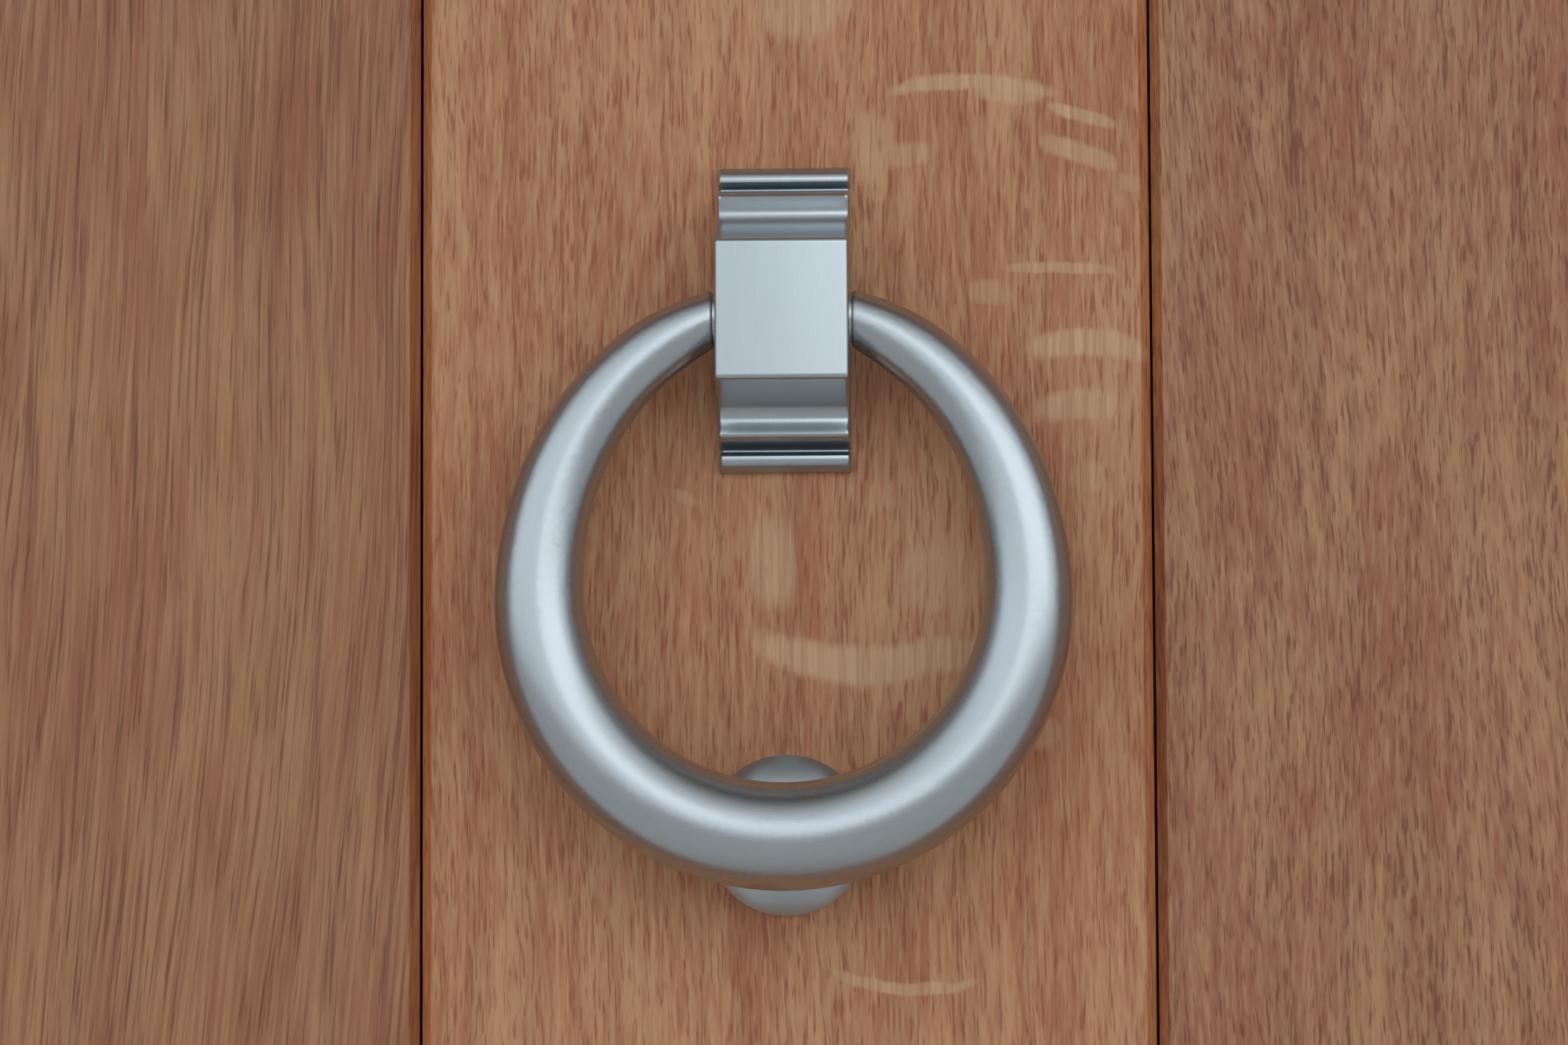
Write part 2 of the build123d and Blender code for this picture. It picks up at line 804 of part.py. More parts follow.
def make_hinge_plate(middle, on_leaf):
    """A plate with its knuckles: the frame's has the odd ones, the leaf's the even ones."""
    side = 1 if on_leaf else -1
    near_x = pin_x + side * leaf_gap / 2
    far_x = near_x + side * hinge_plate
    foot = middle - hinge_height / 2
    with BuildPart() as plate:
        span_box((near_x, far_x), (inner_y - hinge_reach, pin_y), (foot, foot + hinge_height))
        for index in range(knuckle_count):
            own = (index % 2 == 1) == on_leaf
            low = foot + index * knuckle_height
            grow = 0 if own else knuckle_gap / 2
            trim = knuckle_gap / 2 if own else 0
            diameter = hinge_barrel if own else hinge_barrel + 2 * knuckle_clearance
            with Locations((pin_x, pin_y, low + knuckle_height / 2)):
                Cylinder(
                    diameter / 2, knuckle_height + 2 * grow - 2 * trim,
                    mode=Mode.ADD if own else Mode.SUBTRACT)
        with Locations((pin_x, pin_y, middle)):
            Cylinder(hinge_pin / 2 + hinge_pin_clearance, hinge_height + 2, mode=Mode.SUBTRACT)
        for y, z in screw_places(middle):
            bore_x(y, z, screw_shank + screw_clearance, (near_x - side, far_x + side))
            with Locations((near_x + side * hinge_plate / 2, y, z)):
                Cone(
                    bottom_radius=(screw_head + screw_clearance) / 2,
                    top_radius=(screw_shank + screw_clearance) / 2,
                    height=hinge_plate,
                    rotation=(0, 90 * side, 0),
                    mode=Mode.SUBTRACT,
                )
    return plate


def add_wood_screw(start, side, head, shank, cone, length):
    """A countersunk screw along X, its head's face at start, pointing to side."""
    x, y, z = start
    with Locations((x + side * cone / 2, y, z)):
        Cone(
            bottom_radius=head / 2,
            top_radius=shank / 2,
            height=cone,
            rotation=(0, 90 * side, 0),
        )
    bore_x(y, z, shank, (x + side * cone, x + side * length), mode=Mode.ADD)
    span_box(
        (x - side * 0.1, x + side * screw_slot),
        (y - head, y + head),
        (z - screw_slot / 2, z + screw_slot / 2),
        mode=Mode.SUBTRACT,
    )


def make_hinge_screws(on_leaf):
    side = 1 if on_leaf else -1
    with BuildPart() as screws:
        for middle in hinge_heights:
            for y, z in screw_places(middle):
                add_wood_screw(
                    (pin_x + side * leaf_gap / 2, y, z), side, screw_head, screw_shank,
                    hinge_plate, screw_length)
    return screws


frame_plates = [make_hinge_plate(middle, False) for middle in hinge_heights]
leaf_plates = [make_hinge_plate(middle, True) for middle in hinge_heights]

with BuildPart() as hinge_pins:
    for middle in hinge_heights:
        half = hinge_height / 2
        with BuildSketch(Plane(origin=(pin_x, pin_y, middle), x_dir=(1, 0, 0), z_dir=(0, -1, 0))):
            with BuildLine():
                Polyline(
                    (0, half + hinge_head / 3),
                    (0, 0),
                    (hinge_pin / 2, 0),
                    (hinge_pin / 2, half),
                    (hinge_head / 2, half),
                    (hinge_head / 2, half + hinge_head / 9),
                )
                Spline(
                    (hinge_head / 2, half + hinge_head / 9),
                    (0, half + hinge_head / 3),
                    tangents=[(0, 1), (-1, 0)],
                )
            make_face()
            mirror(about=Plane.XZ)
        revolve(axis=Axis((pin_x, pin_y, middle), (0, 0, 1)))
frame_hinge_screws = make_hinge_screws(False)
leaf_hinge_screws = make_hinge_screws(True)


# Sash lock: a case with its cover, a forend, a sprung latch and a deadbolt
case_y = (lock_y - case_thickness / 2, lock_y + case_thickness / 2)
cover_y = case_y[1] - case_wall


def latch_window(x_range):
    """The opening that the latch's head slides in."""
    span_box(
        x_range,
        (lock_y - latch_thickness / 2 - slide_clearance, lock_y + latch_thickness / 2 + slide_clearance),
        (latch_z - latch_height / 2 - slide_clearance, latch_z + latch_height / 2 + slide_clearance),
        mode=Mode.SUBTRACT,
    )


def bolt_window(x_range):
    """The opening that the deadbolt's head slides in."""
    span_box(
        x_range,
        (lock_y - bolt_thickness / 2 - slide_clearance, lock_y + bolt_thickness / 2 + slide_clearance),
        (bolt_z - bolt_height / 2 - slide_clearance, bolt_z + bolt_height / 2 + slide_clearance),
        mode=Mode.SUBTRACT,
    )


spring_stop_x = lever_x + follower_arm_width

with BuildPart() as lock_case:
    span_box((case_back, case_front), (case_y[0], cover_y), (case_foot, case_top))
    span_box(
        (case_back + case_wall, case_front - case_wall),
        (case_y[0] + case_wall, cover_y),
        (case_foot + case_wall, case_top - case_wall),
        mode=Mode.SUBTRACT,
    )
    latch_window((case_front - 2 * case_wall, case_front + 1))
    bolt_window((case_front - 2 * case_wall, case_front + 1))
    span_box(
        (spring_stop_x, spring_stop_x + case_wall),
        (case_y[0] + case_wall / 2, cover_y),
        (latch_z - spring_diameter / 2 - case_wall, latch_z + spring_diameter / 2 + case_wall),
    )
    span_box(
        (spring_stop_x - 1, spring_stop_x + case_wall + 1),
        (lock_y - latch_tail_thickness / 2 - slide_clearance, cover_y + 1),
        (latch_z - latch_tail_height / 2 - slide_clearance, latch_z + latch_tail_height / 2 + slide_clearance),
        mode=Mode.SUBTRACT,
    )
    bore_y(lever_x, lever_z, follower_boss + 2 * slide_clearance, (case_y[0] - 1, case_y[0] + 2 * case_wall))
    extrude(
        euro_section(case_y[0] + 2 * case_wall, slide_clearance), amount=3 * case_wall, mode=Mode.SUBTRACT)

with BuildPart() as lock_cover:
    span_box((case_back, case_front), (cover_y, case_y[1]), (case_foot, case_top))
    bore_y(lever_x, lever_z, follower_boss + 2 * slide_clearance, (cover_y - 1, case_y[1] + 1))
    extrude(euro_section(case_y[1] + 1, slide_clearance), amount=case_wall + 2, mode=Mode.SUBTRACT)
    corner_edges = lock_cover.edges().filter_by(Axis.Y).filter_by(
        lambda edge: abs(edge.center().X - case_back) < 0.01)
    fillet(corner_edges, 2 * case_wall)

with BuildPart() as forend:
    span_box(
        (case_front, half_leaf),
        (lock_y - forend_width / 2, lock_y + forend_width / 2),
        (forend_foot, forend_top),
    )
    latch_window((case_front - 1, half_leaf + 1))
    bolt_window((case_front - 1, half_leaf + 1))
    for z in forend_screw_heights():
        bore_x(lock_y, z, screw_shank + screw_clearance, (case_front - 1, half_leaf + 1))
        with Locations((half_leaf - forend_thickness / 2, lock_y, z)):
            Cone(
                bottom_radius=(screw_head + screw_clearance) / 2,
                top_radius=(screw_shank + screw_clearance) / 2,
                height=forend_thickness,
                rotation=(0, -90, 0),
                mode=Mode.SUBTRACT,
            )

with BuildPart() as forend_screws:
    for z in forend_screw_heights():
        add_wood_screw(
            (half_leaf, lock_y, z), -1, screw_head, screw_shank, forend_thickness, forend_screw_length)

# The latch: a bevelled head, a flat tail and the lug that the follower's arm draws back
lug_x = lever_x - follower_arm_width / 2 - 0.5
with BuildPart() as latch_bolt:
    head_front = half_leaf + latch_throw
    head_back = half_leaf - latch_head_inside
    with BuildSketch(Plane.XY.offset(latch_z - latch_height / 2)):
        with BuildLine():
            Polyline(
                (head_back, lock_y - latch_thickness / 2),
                (head_back, lock_y + latch_thickness / 2),
                (half_leaf + 0.5, lock_y + latch_thickness / 2),
                (head_front, lock_y - latch_thickness / 5),
                (head_front, lock_y - latch_thickness / 2),
                close=True,
            )
        make_face()
    extrude(amount=latch_height)
    span_box(
        (lug_x - latch_lug_width, head_back),
        (lock_y - latch_tail_thickness / 2, lock_y + latch_tail_thickness / 2),
        (latch_z - latch_tail_height / 2, latch_z + latch_tail_height / 2),
    )
    span_box(
        (lug_x - latch_lug_width, lug_x),
        (lock_y - latch_tail_thickness / 2, lock_y + latch_tail_thickness / 2),
        (latch_z - latch_tail_height / 2 - latch_lug_drop, latch_z),
    )

with BuildPart() as latch_spring:
    spring_foot = spring_stop_x + case_wall + spring_wire / 2 + slide_clearance
    spring_run = half_leaf - latch_head_inside - slide_clearance - spring_wire / 2 - spring_foot
    coil = Helix(
        pitch=spring_run / spring_turns,
        height=spring_run,
        radius=(spring_diameter - spring_wire) / 2,
        center=(spring_foot, lock_y, latch_z),
        direction=(1, 0, 0),
        mode=Mode.PRIVATE,
    )
    with BuildSketch(Plane(origin=coil @ 0, z_dir=coil % 0)):
        RegularPolygon(spring_wire / 2, 6)
    sweep(path=coil)

# The follower turns with the spindle and draws the latch back with its arm
with BuildPart() as follower:
    inside = (case_y[0] + case_wall + slide_clearance, cover_y - slide_clearance)
    bore_y(lever_x, lever_z, follower_diameter, inside, mode=Mode.ADD)
    bore_y(
        lever_x, lever_z, follower_boss, (case_y[0] - lock_clearance, case_y[1] + lock_clearance),
        mode=Mode.ADD)
    span_box(
        (lever_x - follower_arm_width / 2, lever_x + follower_arm_width / 2),
        (lock_y - latch_tail_thickness / 2, lock_y + latch_tail_thickness / 2),
        (lever_z, lever_z + follower_arm_length),
    )
    hole = spindle_side + 2 * spindle_clearance
    span_box(
        (lever_x - hole / 2, lever_x + hole / 2),
        (case_y[0] - 2 * lock_clearance, case_y[1] + 2 * lock_clearance),
        (lever_z - hole / 2, lever_z + hole / 2),
        mode=Mode.SUBTRACT,
    )

with BuildPart() as spindle:
    span_box(
        (lever_x - spindle_side / 2, lever_x + spindle_side / 2),
        (face_y - lever_socket + 1, inner_y + lever_socket - 1),
        (lever_z - spindle_side / 2, lever_z + spindle_side / 2),
    )
    chamfer(spindle.edges().filter_by(Axis.Y), 0.6)

# The deadbolt: a square head and a tail with the notch for the cam
notch_x = lever_x - bolt_travel / 2
with BuildPart() as deadbolt:
    span_box(
        (half_leaf - bolt_head_length, half_leaf),
        (lock_y - bolt_thickness / 2, lock_y + bolt_thickness / 2),
        (bolt_z - bolt_height / 2, bolt_z + bolt_height / 2),
    )
    chamfer(deadbolt.faces().sort_by(Axis.X)[-1].edges(), 0.6)
    with BuildSketch(upright(lock_y + bolt_tail_thickness / 2)):
        tail_back = notch_x - bolt_tail_margin
        with Locations(((tail_back + half_leaf - bolt_head_length) / 2, bolt_z)):
            Rectangle(half_leaf - bolt_head_length - tail_back + 0.2, bolt_height)
        with Locations((notch_x, bolt_foot)):
            SlotOverall(
                2 * (cam_radius - cylinder_diameter / 2 + cam_pin), cam_notch, rotation=90,
                mode=Mode.SUBTRACT)
    extrude(amount=bolt_tail_thickness)

# The cylinder: a body in two halves joined under the cam, with a key plug and a thumbturn
plug_radius = cylinder_plug / 2
cam_y = (lock_y - cam_thickness / 2, lock_y + cam_thickness / 2)
with BuildPart() as cylinder_body:
    reach = rose_thickness + cylinder_projection
    extrude(euro_section(inner_y + reach, 0), amount=leaf_thickness + 2 * reach)
    bore_y(
        lever_x, cylinder_z, cylinder_plug + 2 * pivot_clearance,
        (face_y - reach - 1, inner_y + reach + 1))
    span_box(
        (lever_x - cylinder_diameter, lever_x + cylinder_diameter),
        (lock_y - cam_gap / 2, lock_y + cam_gap / 2),
        (cylinder_z - cam_diameter / 2 - 1, cylinder_z + cylinder_diameter),
        mode=Mode.SUBTRACT,
    )

with BuildPart() as cylinder_cam:
    bore_y(lever_x, cylinder_z, cam_diameter, cam_y, mode=Mode.ADD)
    with BuildSketch(upright(cam_y[1])):
        pin_angle = math.radians(turn_swing / 2)
        cam_tip = (-cam_radius * math.sin(pin_angle), cam_radius * math.cos(pin_angle))
        with Locations((lever_x + cam_tip[0], cylinder_z + cam_tip[1])):
            Circle(cam_pin / 2)
        with Locations((lever_x + cam_tip[0] / 2, cylinder_z + cam_tip[1] / 2)):
            Rectangle(cam_arm, cam_radius, rotation=turn_swing / 2)
    extrude(amount=cam_thickness)

with BuildPart() as key_plug:
    plug_front = face_y - rose_thickness - cylinder_projection
    bore_y(lever_x, cylinder_z, cylinder_plug, (plug_front, cam_y[0]), mode=Mode.ADD)
    span_box(
        (lever_x - 1.3, lever_x + 1.3),
        (plug_front - 1, plug_front + 25),
        (cylinder_z - plug_radius * 0.75, cylinder_z + plug_radius * 0.7),
        mode=Mode.SUBTRACT,
    )

with BuildPart() as thumbturn:
    turn_base = inner_y + rose_thickness + cylinder_projection
    bore_y(lever_x, cylinder_z, cylinder_plug, (cam_y[1], turn_base), mode=Mode.ADD)
    bore_y(lever_x, cylinder_z, turn_neck, (turn_base - 1, turn_base + turn_length / 2), mode=Mode.ADD)
    with BuildSketch(upright(turn_base + turn_length)):
        with Locations((lever_x, cylinder_z)):
            SlotOverall(turn_length, turn_blade, rotation=90)
    extrude(amount=turn_length * 0.7)
    blade_rim = thumbturn.faces().sort_by(Axis.Y)[-1].edges()
    fillet(blade_rim, 1.5)


# Roses, escutcheons and levers, one of each on either side of the leaf
def make_plate(middle_z, outward, opening):
    """A round plate on the leaf's face: outward is -1 outside and 1 inside."""
    base_y = face_y if outward < 0 else inner_y
    with BuildPart() as plate:
        bore_y(lever_x, middle_z, rose_diameter, (base_y, base_y + outward * rose_thickness), mode=Mode.ADD)
        rim = plate.faces().sort_by(Axis.Y)[0 if outward < 0 else -1].edges()
        fillet(rim, rose_edge)
        if opening == "lever":
            bore_y(
                lever_x, lever_z, lever_diameter + 2 * lever_clearance,
                (base_y - outward, base_y + outward * (rose_thickness + 1)))
        else:
            far_y = max(base_y, base_y + outward * rose_thickness) + 1
            extrude(euro_section(far_y, slide_clearance), amount=rose_thickness + 2, mode=Mode.SUBTRACT)
        for side in (-1, 1):
            x = lever_x + side * rose_screw_spacing / 2
            bore_y(
                x, middle_z, rose_screw_shank + screw_clearance,
                (base_y - outward, base_y + outward * (rose_thickness + 1)))
            with Locations((x, base_y + outward * (rose_thickness - rose_screw_head / 4), middle_z)):
                Cone(
                    bottom_radius=(rose_screw_shank + screw_clearance) / 2,
                    top_radius=(rose_screw_head + screw_clearance) / 2,
                    height=rose_screw_head / 2,
                    rotation=(-90 * outward, 0, 0),
                    mode=Mode.SUBTRACT,
                )
    return plate


def make_lever(outward):
    """A round bar that leaves the rose, bends and runs towards the hinges, drilled for the spindle."""
    base_y = face_y if outward < 0 else inner_y
    start = base_y - outward * lever_sink
    front = base_y + outward * lever_projection
    with BuildPart() as lever:
        with BuildLine() as route:
            FilletPolyline(
                (lever_x, start, lever_z),
                (lever_x, front, lever_z),
                (lever_x - lever_length, front, lever_z),
                radius=lever_bend,
            )
        with BuildSketch(Plane(origin=(lever_x, start, lever_z), z_dir=(0, outward, 0))):
            Circle(lever_diameter / 2)
        sweep(path=route.wires()[0])
        tip = lever.faces().sort_by(Axis.X)[0].edges()
        fillet(tip, lever_diameter * 0.3)
        hole = spindle_side + 2 * spindle_clearance
        span_box(
            (lever_x - hole / 2, lever_x + hole / 2),
            (start - outward, base_y + outward * lever_socket),
            (lever_z - hole / 2, lever_z + hole / 2),
            mode=Mode.SUBTRACT,
        )
    return lever


outside_rose = make_plate(lever_z, -1, "lever")
inside_rose = make_plate(lever_z, 1, "lever")
outside_escutcheon = make_plate(cylinder_z - escutcheon_drop, -1, "cylinder")
inside_escutcheon = make_plate(cylinder_z - escutcheon_drop, 1, "cylinder")
outside_lever = make_lever(-1)
inside_lever = make_lever(1)

with BuildPart() as rose_screws:
    for outward in (-1, 1):
        base_y = face_y if outward < 0 else inner_y
        head_y = base_y + outward * rose_thickness
        for z in (lever_z, cylinder_z - escutcheon_drop):
            for side in (-1, 1):
                x = lever_x + side * rose_screw_spacing / 2
                with Locations((x, head_y - outward * rose_screw_head / 4, z)):
                    Cone(
                        bottom_radius=rose_screw_shank / 2,
                        top_radius=rose_screw_head / 2,
                        height=rose_screw_head / 2,
                        rotation=(-90 * outward, 0, 0),
                    )
                bore_y(
                    x, z, rose_screw_shank,
                    (head_y - outward * rose_screw_head / 2, base_y - outward * rose_screw_grip),
                    mode=Mode.ADD)
                span_box(
                    (x - screw_slot / 2, x + screw_slot / 2),
                    (head_y + outward * 0.1, head_y - outward * screw_slot),
                    (z - rose_screw_head, z + rose_screw_head),
                    mode=Mode.SUBTRACT,
                )

# Strike plate, let into the lock jamb, with a lip at the inner arris
with BuildPart() as strike_plate:
    with BuildSketch(Plane.XY.offset(strike_foot)):
        with BuildLine():
            near = lock_y - strike_width / 2
            Polyline(
                (jamb_rebate, near),
                (jamb_rebate + strike_thickness, near),
                (jamb_rebate + strike_thickness, inner_y),
                (jamb_rebate + strike_thickness + strike_lip * 0.3, inner_y + strike_lip * 0.2),
                (jamb_rebate + strike_lip * 0.8, inner_y + strike_lip * 0.5),
                (jamb_rebate, inner_y - strike_lip * 0.4),
                close=True,
            )
        make_face()
    extrude(amount=strike_top - strike_foot)
    hole = strike_hole_margin
    span_box(
        (jamb_rebate - 1, jamb_rebate + strike_thickness + 1),
        (lock_y - latch_thickness / 2 - hole, lock_y + latch_thickness / 2 + hole),
        (latch_z - latch_height / 2 - hole, latch_z + latch_height / 2 + hole),
        mode=Mode.SUBTRACT,
    )
    span_box(
        (jamb_rebate - 1, jamb_rebate + strike_thickness + 1),
        (lock_y - bolt_thickness / 2 - hole, lock_y + bolt_thickness / 2 + hole),
        (bolt_z - bolt_height / 2 - hole, bolt_z + bolt_height / 2 + hole),
        mode=Mode.SUBTRACT,
    )
    for z in strike_screw_heights():
        bore_x(lock_y, z, screw_shank + screw_clearance, (jamb_rebate - 1, jamb_rebate + 4))
        with Locations((jamb_rebate + strike_thickness / 2, lock_y, z)):
            Cone(
                bottom_radius=(screw_head + screw_clearance) / 2,
                top_radius=(screw_shank + screw_clearance) / 2,
                height=strike_thickness,
                rotation=(0, 90, 0),
                mode=Mode.SUBTRACT,
            )

with BuildPart() as strike_screws:
    for z in strike_screw_heights():
        add_wood_screw(
            (jamb_rebate, lock_y, z), 1, screw_head, screw_shank, strike_thickness, screw_length)

# Ring knocker. The bracket is one moulding, the same above and below its block: a lip, a steep
# quirk, a bead with a hollow along its middle, and a cove that rises to the block
with BuildPart() as knocker_bracket:
    moulding = Plane(origin=(0, face_y, bracket_z), x_dir=(0, -1, 0), z_dir=(-1, 0, 0))
    front = face_y - block_projection
    with BuildSketch(moulding):
        with BuildLine():
            bead_foot = cove_outer + bead_arris
            bead_top = bead_outer - bead_arris
            Polyline(
                (0, 0),
                (0, bracket_half_height),
                (lip_back, bracket_half_height),
                (lip_projection, lip_outer),
                (lip_projection, quirk_outer),
                (bead_projection - bead_arris, bead_outer),
                (bead_projection, bead_top),
            )
            ThreePointArc(
                (bead_projection, bead_top),
                (bead_projection - bead_hollow, (bead_top + bead_foot) / 2),
                (bead_projection, bead_foot),
            )
            Line((bead_projection, bead_foot), (bead_projection - bead_arris, cove_outer))
            EllipticalCenterArc(
                (block_projection - block_edge, cove_outer),
                block_projection - block_edge - bead_projection + bead_arris,
                cove_outer - block_half_height,
                start_angle=180,
                arc_size=90,
            )
            Polyline(
                (block_projection - block_edge, block_half_height),
                (block_projection, block_half_height),
                (block_projection, 0),
                (0, 0),
            )
        moulded = make_face()
        arrises = moulded.vertices().filter_by(
            lambda corner: block_half_height + 1 < corner.Z - bracket_z < bracket_half_height + 1
            and corner.Y < face_y - lip_back - 1)
        fillet(arrises, arris_radius)
        mirror(about=Plane.XZ)
    extrude(amount=bracket_width / 2, both=True)
    for side in (-1, 1):
        span_box(
            (side * block_width / 2, side * bracket_width),
            (face_y - bead_projection - arris_radius, front - 1),
            (bracket_z - bracket_half_height, bracket_z + bracket_half_height),
            mode=Mode.SUBTRACT,
        )
    block_corners = knocker_bracket.edges().filter_by(Axis.Y).filter_by(
        lambda edge: edge.center().Y < front + block_edge)
    fillet(block_corners, block_corner_rounding)
    block_edges = knocker_bracket.edges().filter_by(
        lambda edge: abs(edge.center().Y - front) < 0.01)
    fillet(block_edges, block_edge_rounding)
    bore_x(
        pivot_y, knocker_z, pivot_pin + 2 * pivot_clearance, (-bracket_width, bracket_width))
    for x, z in stud_places()[:2]:
        bore_y(x, z, stud_diameter, (face_y + 1, face_y - stud_seat))

with BuildPart() as knocker_pin:
    bore_x(
        pivot_y, knocker_z, pivot_pin, (-ring_end_x - pivot_grip, ring_end_x + pivot_grip),
        mode=Mode.ADD)
    for side in (-1, 1):
        bore_x(
            pivot_y, knocker_z, collar_diameter,
            (side * (block_width / 2 + collar_clearance), side * ring_end_x), mode=Mode.ADD)

# The ring: round in section, thickest where it strikes, its ends drilled for the pin
ring_bottom_y = face_y - button_height - ring_rest_gap - ring_bottom_diameter / 2


def ring_plane(angle):
    """The plane of the ring's section at an angle from its bottom, in degrees."""
    turn = math.radians(angle)
    upper = abs(angle) > 90
    half_height = ring_upper_radius if upper else ring_radius
    x = ring_radius * math.sin(turn)
    z = ring_centre_z - half_height * math.cos(turn)
    along = (knocker_z - z) / (knocker_z - ring_centre_z + ring_radius)
    y = pivot_y + (ring_bottom_y - pivot_y) * along
    tangent = Vector(ring_radius * math.cos(turn), 0, half_height * math.sin(turn))
    if abs(angle) > ring_end_angle - 0.01:
        tangent = Vector(-1, 0, 0)
    return Plane(origin=(x, y, z), x_dir=(0, 1, 0), z_dir=tangent)


def ring_diameter(angle):
    """The ring's thickness at an angle from its bottom."""
    share = (abs(angle) / ring_end_angle) ** ring_taper_power
    return ring_bottom_diameter + (ring_end_diameter - ring_bottom_diameter) * share


with BuildPart() as knocker_ring:
    sections = 2 * round(ring_end_angle / ring_section_step)
    for index in range(sections + 1):
        angle = -ring_end_angle + 2 * ring_end_angle * index / sections
        with BuildSketch(ring_plane(angle)):
            Circle(ring_diameter(angle) / 2)
    loft()
    end_rims = knocker_ring.edges().filter_by(
        lambda edge: abs(abs(edge.center().X) - ring_end_x) < 0.01)
    fillet(end_rims, ring_end_rounding)
    for side in (-1, 1):
        bore_x(
            pivot_y, knocker_z, pivot_pin + 0.02,
            (side * (ring_end_x - 1), side * (ring_end_x + pivot_grip + 0.3)))

with BuildPart() as striker_button:
    with BuildSketch(Plane.YZ):
        with BuildLine():
            rim = button_diameter / 2
            Polyline(
                (face_y - button_height, button_z),
                (face_y, button_z),
                (face_y, button_z + rim),
                (face_y - button_edge, button_z + rim),
            )
            TangentArc(
                (face_y - button_height, button_z),
                (face_y - button_edge, button_z + rim),
                tangent=(0, 1),
            )
        make_face()
    revolve(axis=Axis((0, face_y, button_z), (0, 1, 0)))
    bore_y(0, button_z, stud_diameter, (face_y + 1, face_y - button_stud_seat))


# Studs, washers and domed nuts: they hold the knocker through the board and the brace
nut_seat = inner_y + washer_thickness
with BuildPart() as knocker_studs:
    for index, (x, z) in enumerate(stud_places()):
        seat = stud_seat if index < 2 else button_stud_seat
        bore_y(x, z, stud_diameter, (face_y - seat + 0.5, nut_seat + nut_hex_height), mode=Mode.ADD)

with BuildPart() as knocker_washers:
    for x, z in stud_places():
        bore_y(x, z, washer_diameter, (inner_y, nut_seat), mode=Mode.ADD)
        bore_y(x, z, stud_diameter + stud_clearance, (inner_y - 1, nut_seat + 1))

with BuildPart() as knocker_nuts:
    for x, z in stud_places():
        with BuildSketch(upright(nut_seat + nut_hex_height)):
            with Locations((x, z)):
                RegularPolygon(nut_width / 2, 6, major_radius=False)
        extrude(amount=nut_hex_height)
        with Locations((x, nut_seat + nut_hex_height, z)):
            Sphere(nut_height - nut_hex_height, rotation=(-90, 0, 0), arc_size1=0)
        bore_y(x, z, stud_diameter, (nut_seat - 1, nut_seat + nut_hex_height))

names = ["lower", "middle", "upper"]
write(hinge_stile, "hinge_stile")
write(lock_stile, "lock_stile")
write(top_rail, "top_rail")
write(lock_rail, "lock_rail")
write(bottom_rail, "bottom_rail")
write(upper_brace, "upper_brace")
write(lower_brace, "lower_brace")
write(leaf_pegs, "leaf_pegs")
write(weatherboard, "weatherboard")
for number, board in enumerate(boards, start=1):
    write(board, f"board_{number}")
write(sill, "sill")
write(head, "head")
write(hinge_jamb, "hinge_jamb")
write(lock_jamb, "lock_jamb")
write(seal_hinge_side, "seal_hinge_side")
write(seal_lock_side, "seal_lock_side")
write(seal_head, "seal_head")
write(seal_sill, "seal_sill")
for name, frame_plate, leaf_plate in zip(names, frame_plates, leaf_plates):
    write(frame_plate, f"{name}_hinge_frame_plate")
    write(leaf_plate, f"{name}_hinge_leaf_plate")
write(hinge_pins, "hinge_pins")
write(frame_hinge_screws, "hinge_screws_in_frame")
write(leaf_hinge_screws, "hinge_screws_in_leaf")
for piece, node in (
    (lock_case, "lock_case"),
    (lock_cover, "lock_case_cover"),
    (forend, "lock_forend"),
    (forend_screws, "forend_screws"),
    (latch_bolt, "latch_bolt"),
    (latch_spring, "latch_spring"),
    (follower, "lock_follower"),
    (spindle, "spindle"),
    (deadbolt, "deadbolt"),
    (cylinder_body, "cylinder_body"),
    (cylinder_cam, "cylinder_cam"),
    (key_plug, "key_plug"),
    (thumbturn, "thumbturn"),
    (outside_rose, "outside_rose"),
    (inside_rose, "inside_rose"),
    (outside_escutcheon, "outside_escutcheon"),
    (inside_escutcheon, "inside_escutcheon"),
    (outside_lever, "outside_lever"),
    (inside_lever, "inside_lever"),
    (rose_screws, "rose_screws"),
    (strike_plate, "strike_plate"),
    (strike_screws, "strike_screws"),
    (knocker_bracket, "knocker_bracket"),
    (knocker_pin, "knocker_pin"),
    (knocker_ring, "knocker_ring"),
    (striker_button, "striker_button"),
    (knocker_studs, "knocker_studs"),
    (knocker_washers, "knocker_washers"),
    (knocker_nuts, "knocker_nuts"),
):
    write(piece, node)
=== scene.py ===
# %% [markdown]
# # An oak boarded door with a steel ring knocker
#
# The door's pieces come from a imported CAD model: they already have their true size and place.
# Blender's share is the look of the thing. We load the pieces, give every one of them a finish
# built from noise and simple shapes, make one softer piece, and set the studio and the camera
# around them.

# %% Load the fixed pieces
import json
import math

import bmesh
import bpy
from mathutils import Matrix, Vector


